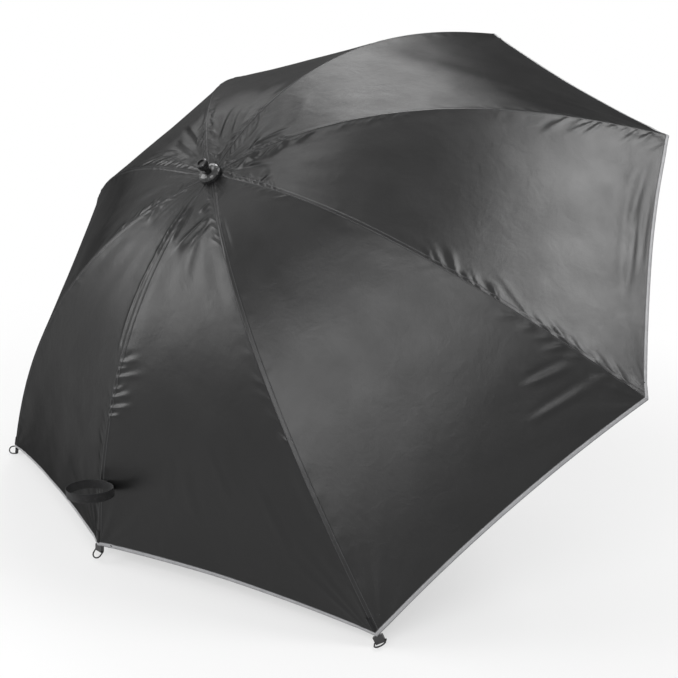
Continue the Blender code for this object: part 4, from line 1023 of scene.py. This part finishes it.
def seen_rays(tree):
    """1 for rays that show the background itself: to the camera, in gloss and through glass."""
    rays = tree.nodes.new("ShaderNodeLightPath")
    total = rays.outputs["Is Camera Ray"]
    for name in ("Is Glossy Ray", "Is Transmission Ray"):
        node = tree.nodes.new("ShaderNodeMath")
        node.operation = "MAXIMUM"
        tree.links.new(total, node.inputs[0])
        tree.links.new(rays.outputs[name], node.inputs[1])
        total = node.outputs[0]
    return total


def mixed(tree, share, first, second, surface):
    """Mixes two shaders by a share into an output's socket."""
    mix = tree.nodes.new("ShaderNodeMixShader")
    for socket, source in zip(mix.inputs, (share, first.outputs[0], second.outputs[0])):
        tree.links.new(source, socket)
    tree.links.new(mix.outputs[0], surface)


def build_floor():
    """A pale floor that turns into the white background away from the object."""
    corners = [(-1, -1), (1, -1), (1, 1), (-1, 1)]
    points = np.array([(FLOOR_HALF * x, FLOOR_HALF * y, FLOOR_HEIGHT) for x, y in corners])
    item = mesh_piece("floor", points, np.array([[0, 1, 2, 3]]))
    material = bpy.data.materials.new("floor")
    tree, surface = emptied(material, "ShaderNodeOutputMaterial")
    matt = tree.nodes.new("ShaderNodeBsdfDiffuse")
    matt.inputs[0].default_value = (FLOOR_TONE, FLOOR_TONE, FLOOR_TONE, 1)
    white = tree.nodes.new("ShaderNodeEmission")
    place = tree.nodes.new("ShaderNodeTexCoord")
    far = tree.nodes.new("ShaderNodeVectorMath")
    far.operation = "LENGTH"
    tree.links.new(place.outputs["Object"], far.inputs[0])
    fade = tree.nodes.new("ShaderNodeMapRange")
    fade.interpolation_type = "SMOOTHSTEP"
    for index, number in enumerate((FADE_NEAR, FADE_FAR, WHITE_NEAR, WHITE_FAR)):
        fade.inputs[index + 1].default_value = number
    tree.links.new(far.outputs["Value"], fade.inputs[0])
    share = tree.nodes.new("ShaderNodeMath")
    share.operation = "MULTIPLY"
    tree.links.new(fade.outputs[0], share.inputs[0])
    tree.links.new(seen_rays(tree), share.inputs[1])
    mixed(tree, share.outputs[0], matt, white, surface)
    item.data.materials.append(material)


def build_world():
    """A dim white room, and a full white one where the background itself is seen."""
    sky = bpy.data.worlds.new("studio")
    bpy.context.scene.world = sky
    tree, surface = emptied(sky, "ShaderNodeOutputWorld")
    room, white = tree.nodes.new("ShaderNodeBackground"), tree.nodes.new("ShaderNodeBackground")
    for node, strength in ((room, ROOM_STRENGTH), (white, WHITE_STRENGTH)):
        node.inputs["Color"].default_value = (1, 1, 1, 1)
        node.inputs["Strength"].default_value = strength
    mixed(tree, seen_rays(tree), room, white, surface)


def lamp(name, azimuth_deg, elevation_deg, distance, size, radiance):
    """A soft box that lies in this direction, and faces the middle of the cover."""
    data = bpy.data.lights.new(name, "AREA")
    data.shape, data.size, data.size_y = "ELLIPSE", size[0], size[1]
    data.energy = radiance * math.pi * size[0] * size[1] * math.pi / 4
    item = bpy.data.objects.new(name, data)
    bpy.context.scene.collection.objects.link(item)
    a, e = math.radians(azimuth_deg), math.radians(elevation_deg)
    away = Vector((math.cos(e) * math.cos(a), math.cos(e) * math.sin(a), math.sin(e)))
    item.location = LIT_POINT + away * distance
    item.rotation_euler = away.to_track_quat("Z", "Y").to_euler()


build_camera()
build_floor()
build_world()
for row in LAMPS:
    lamp(*row)
bpy.context.scene.view_settings.view_transform = "Standard"
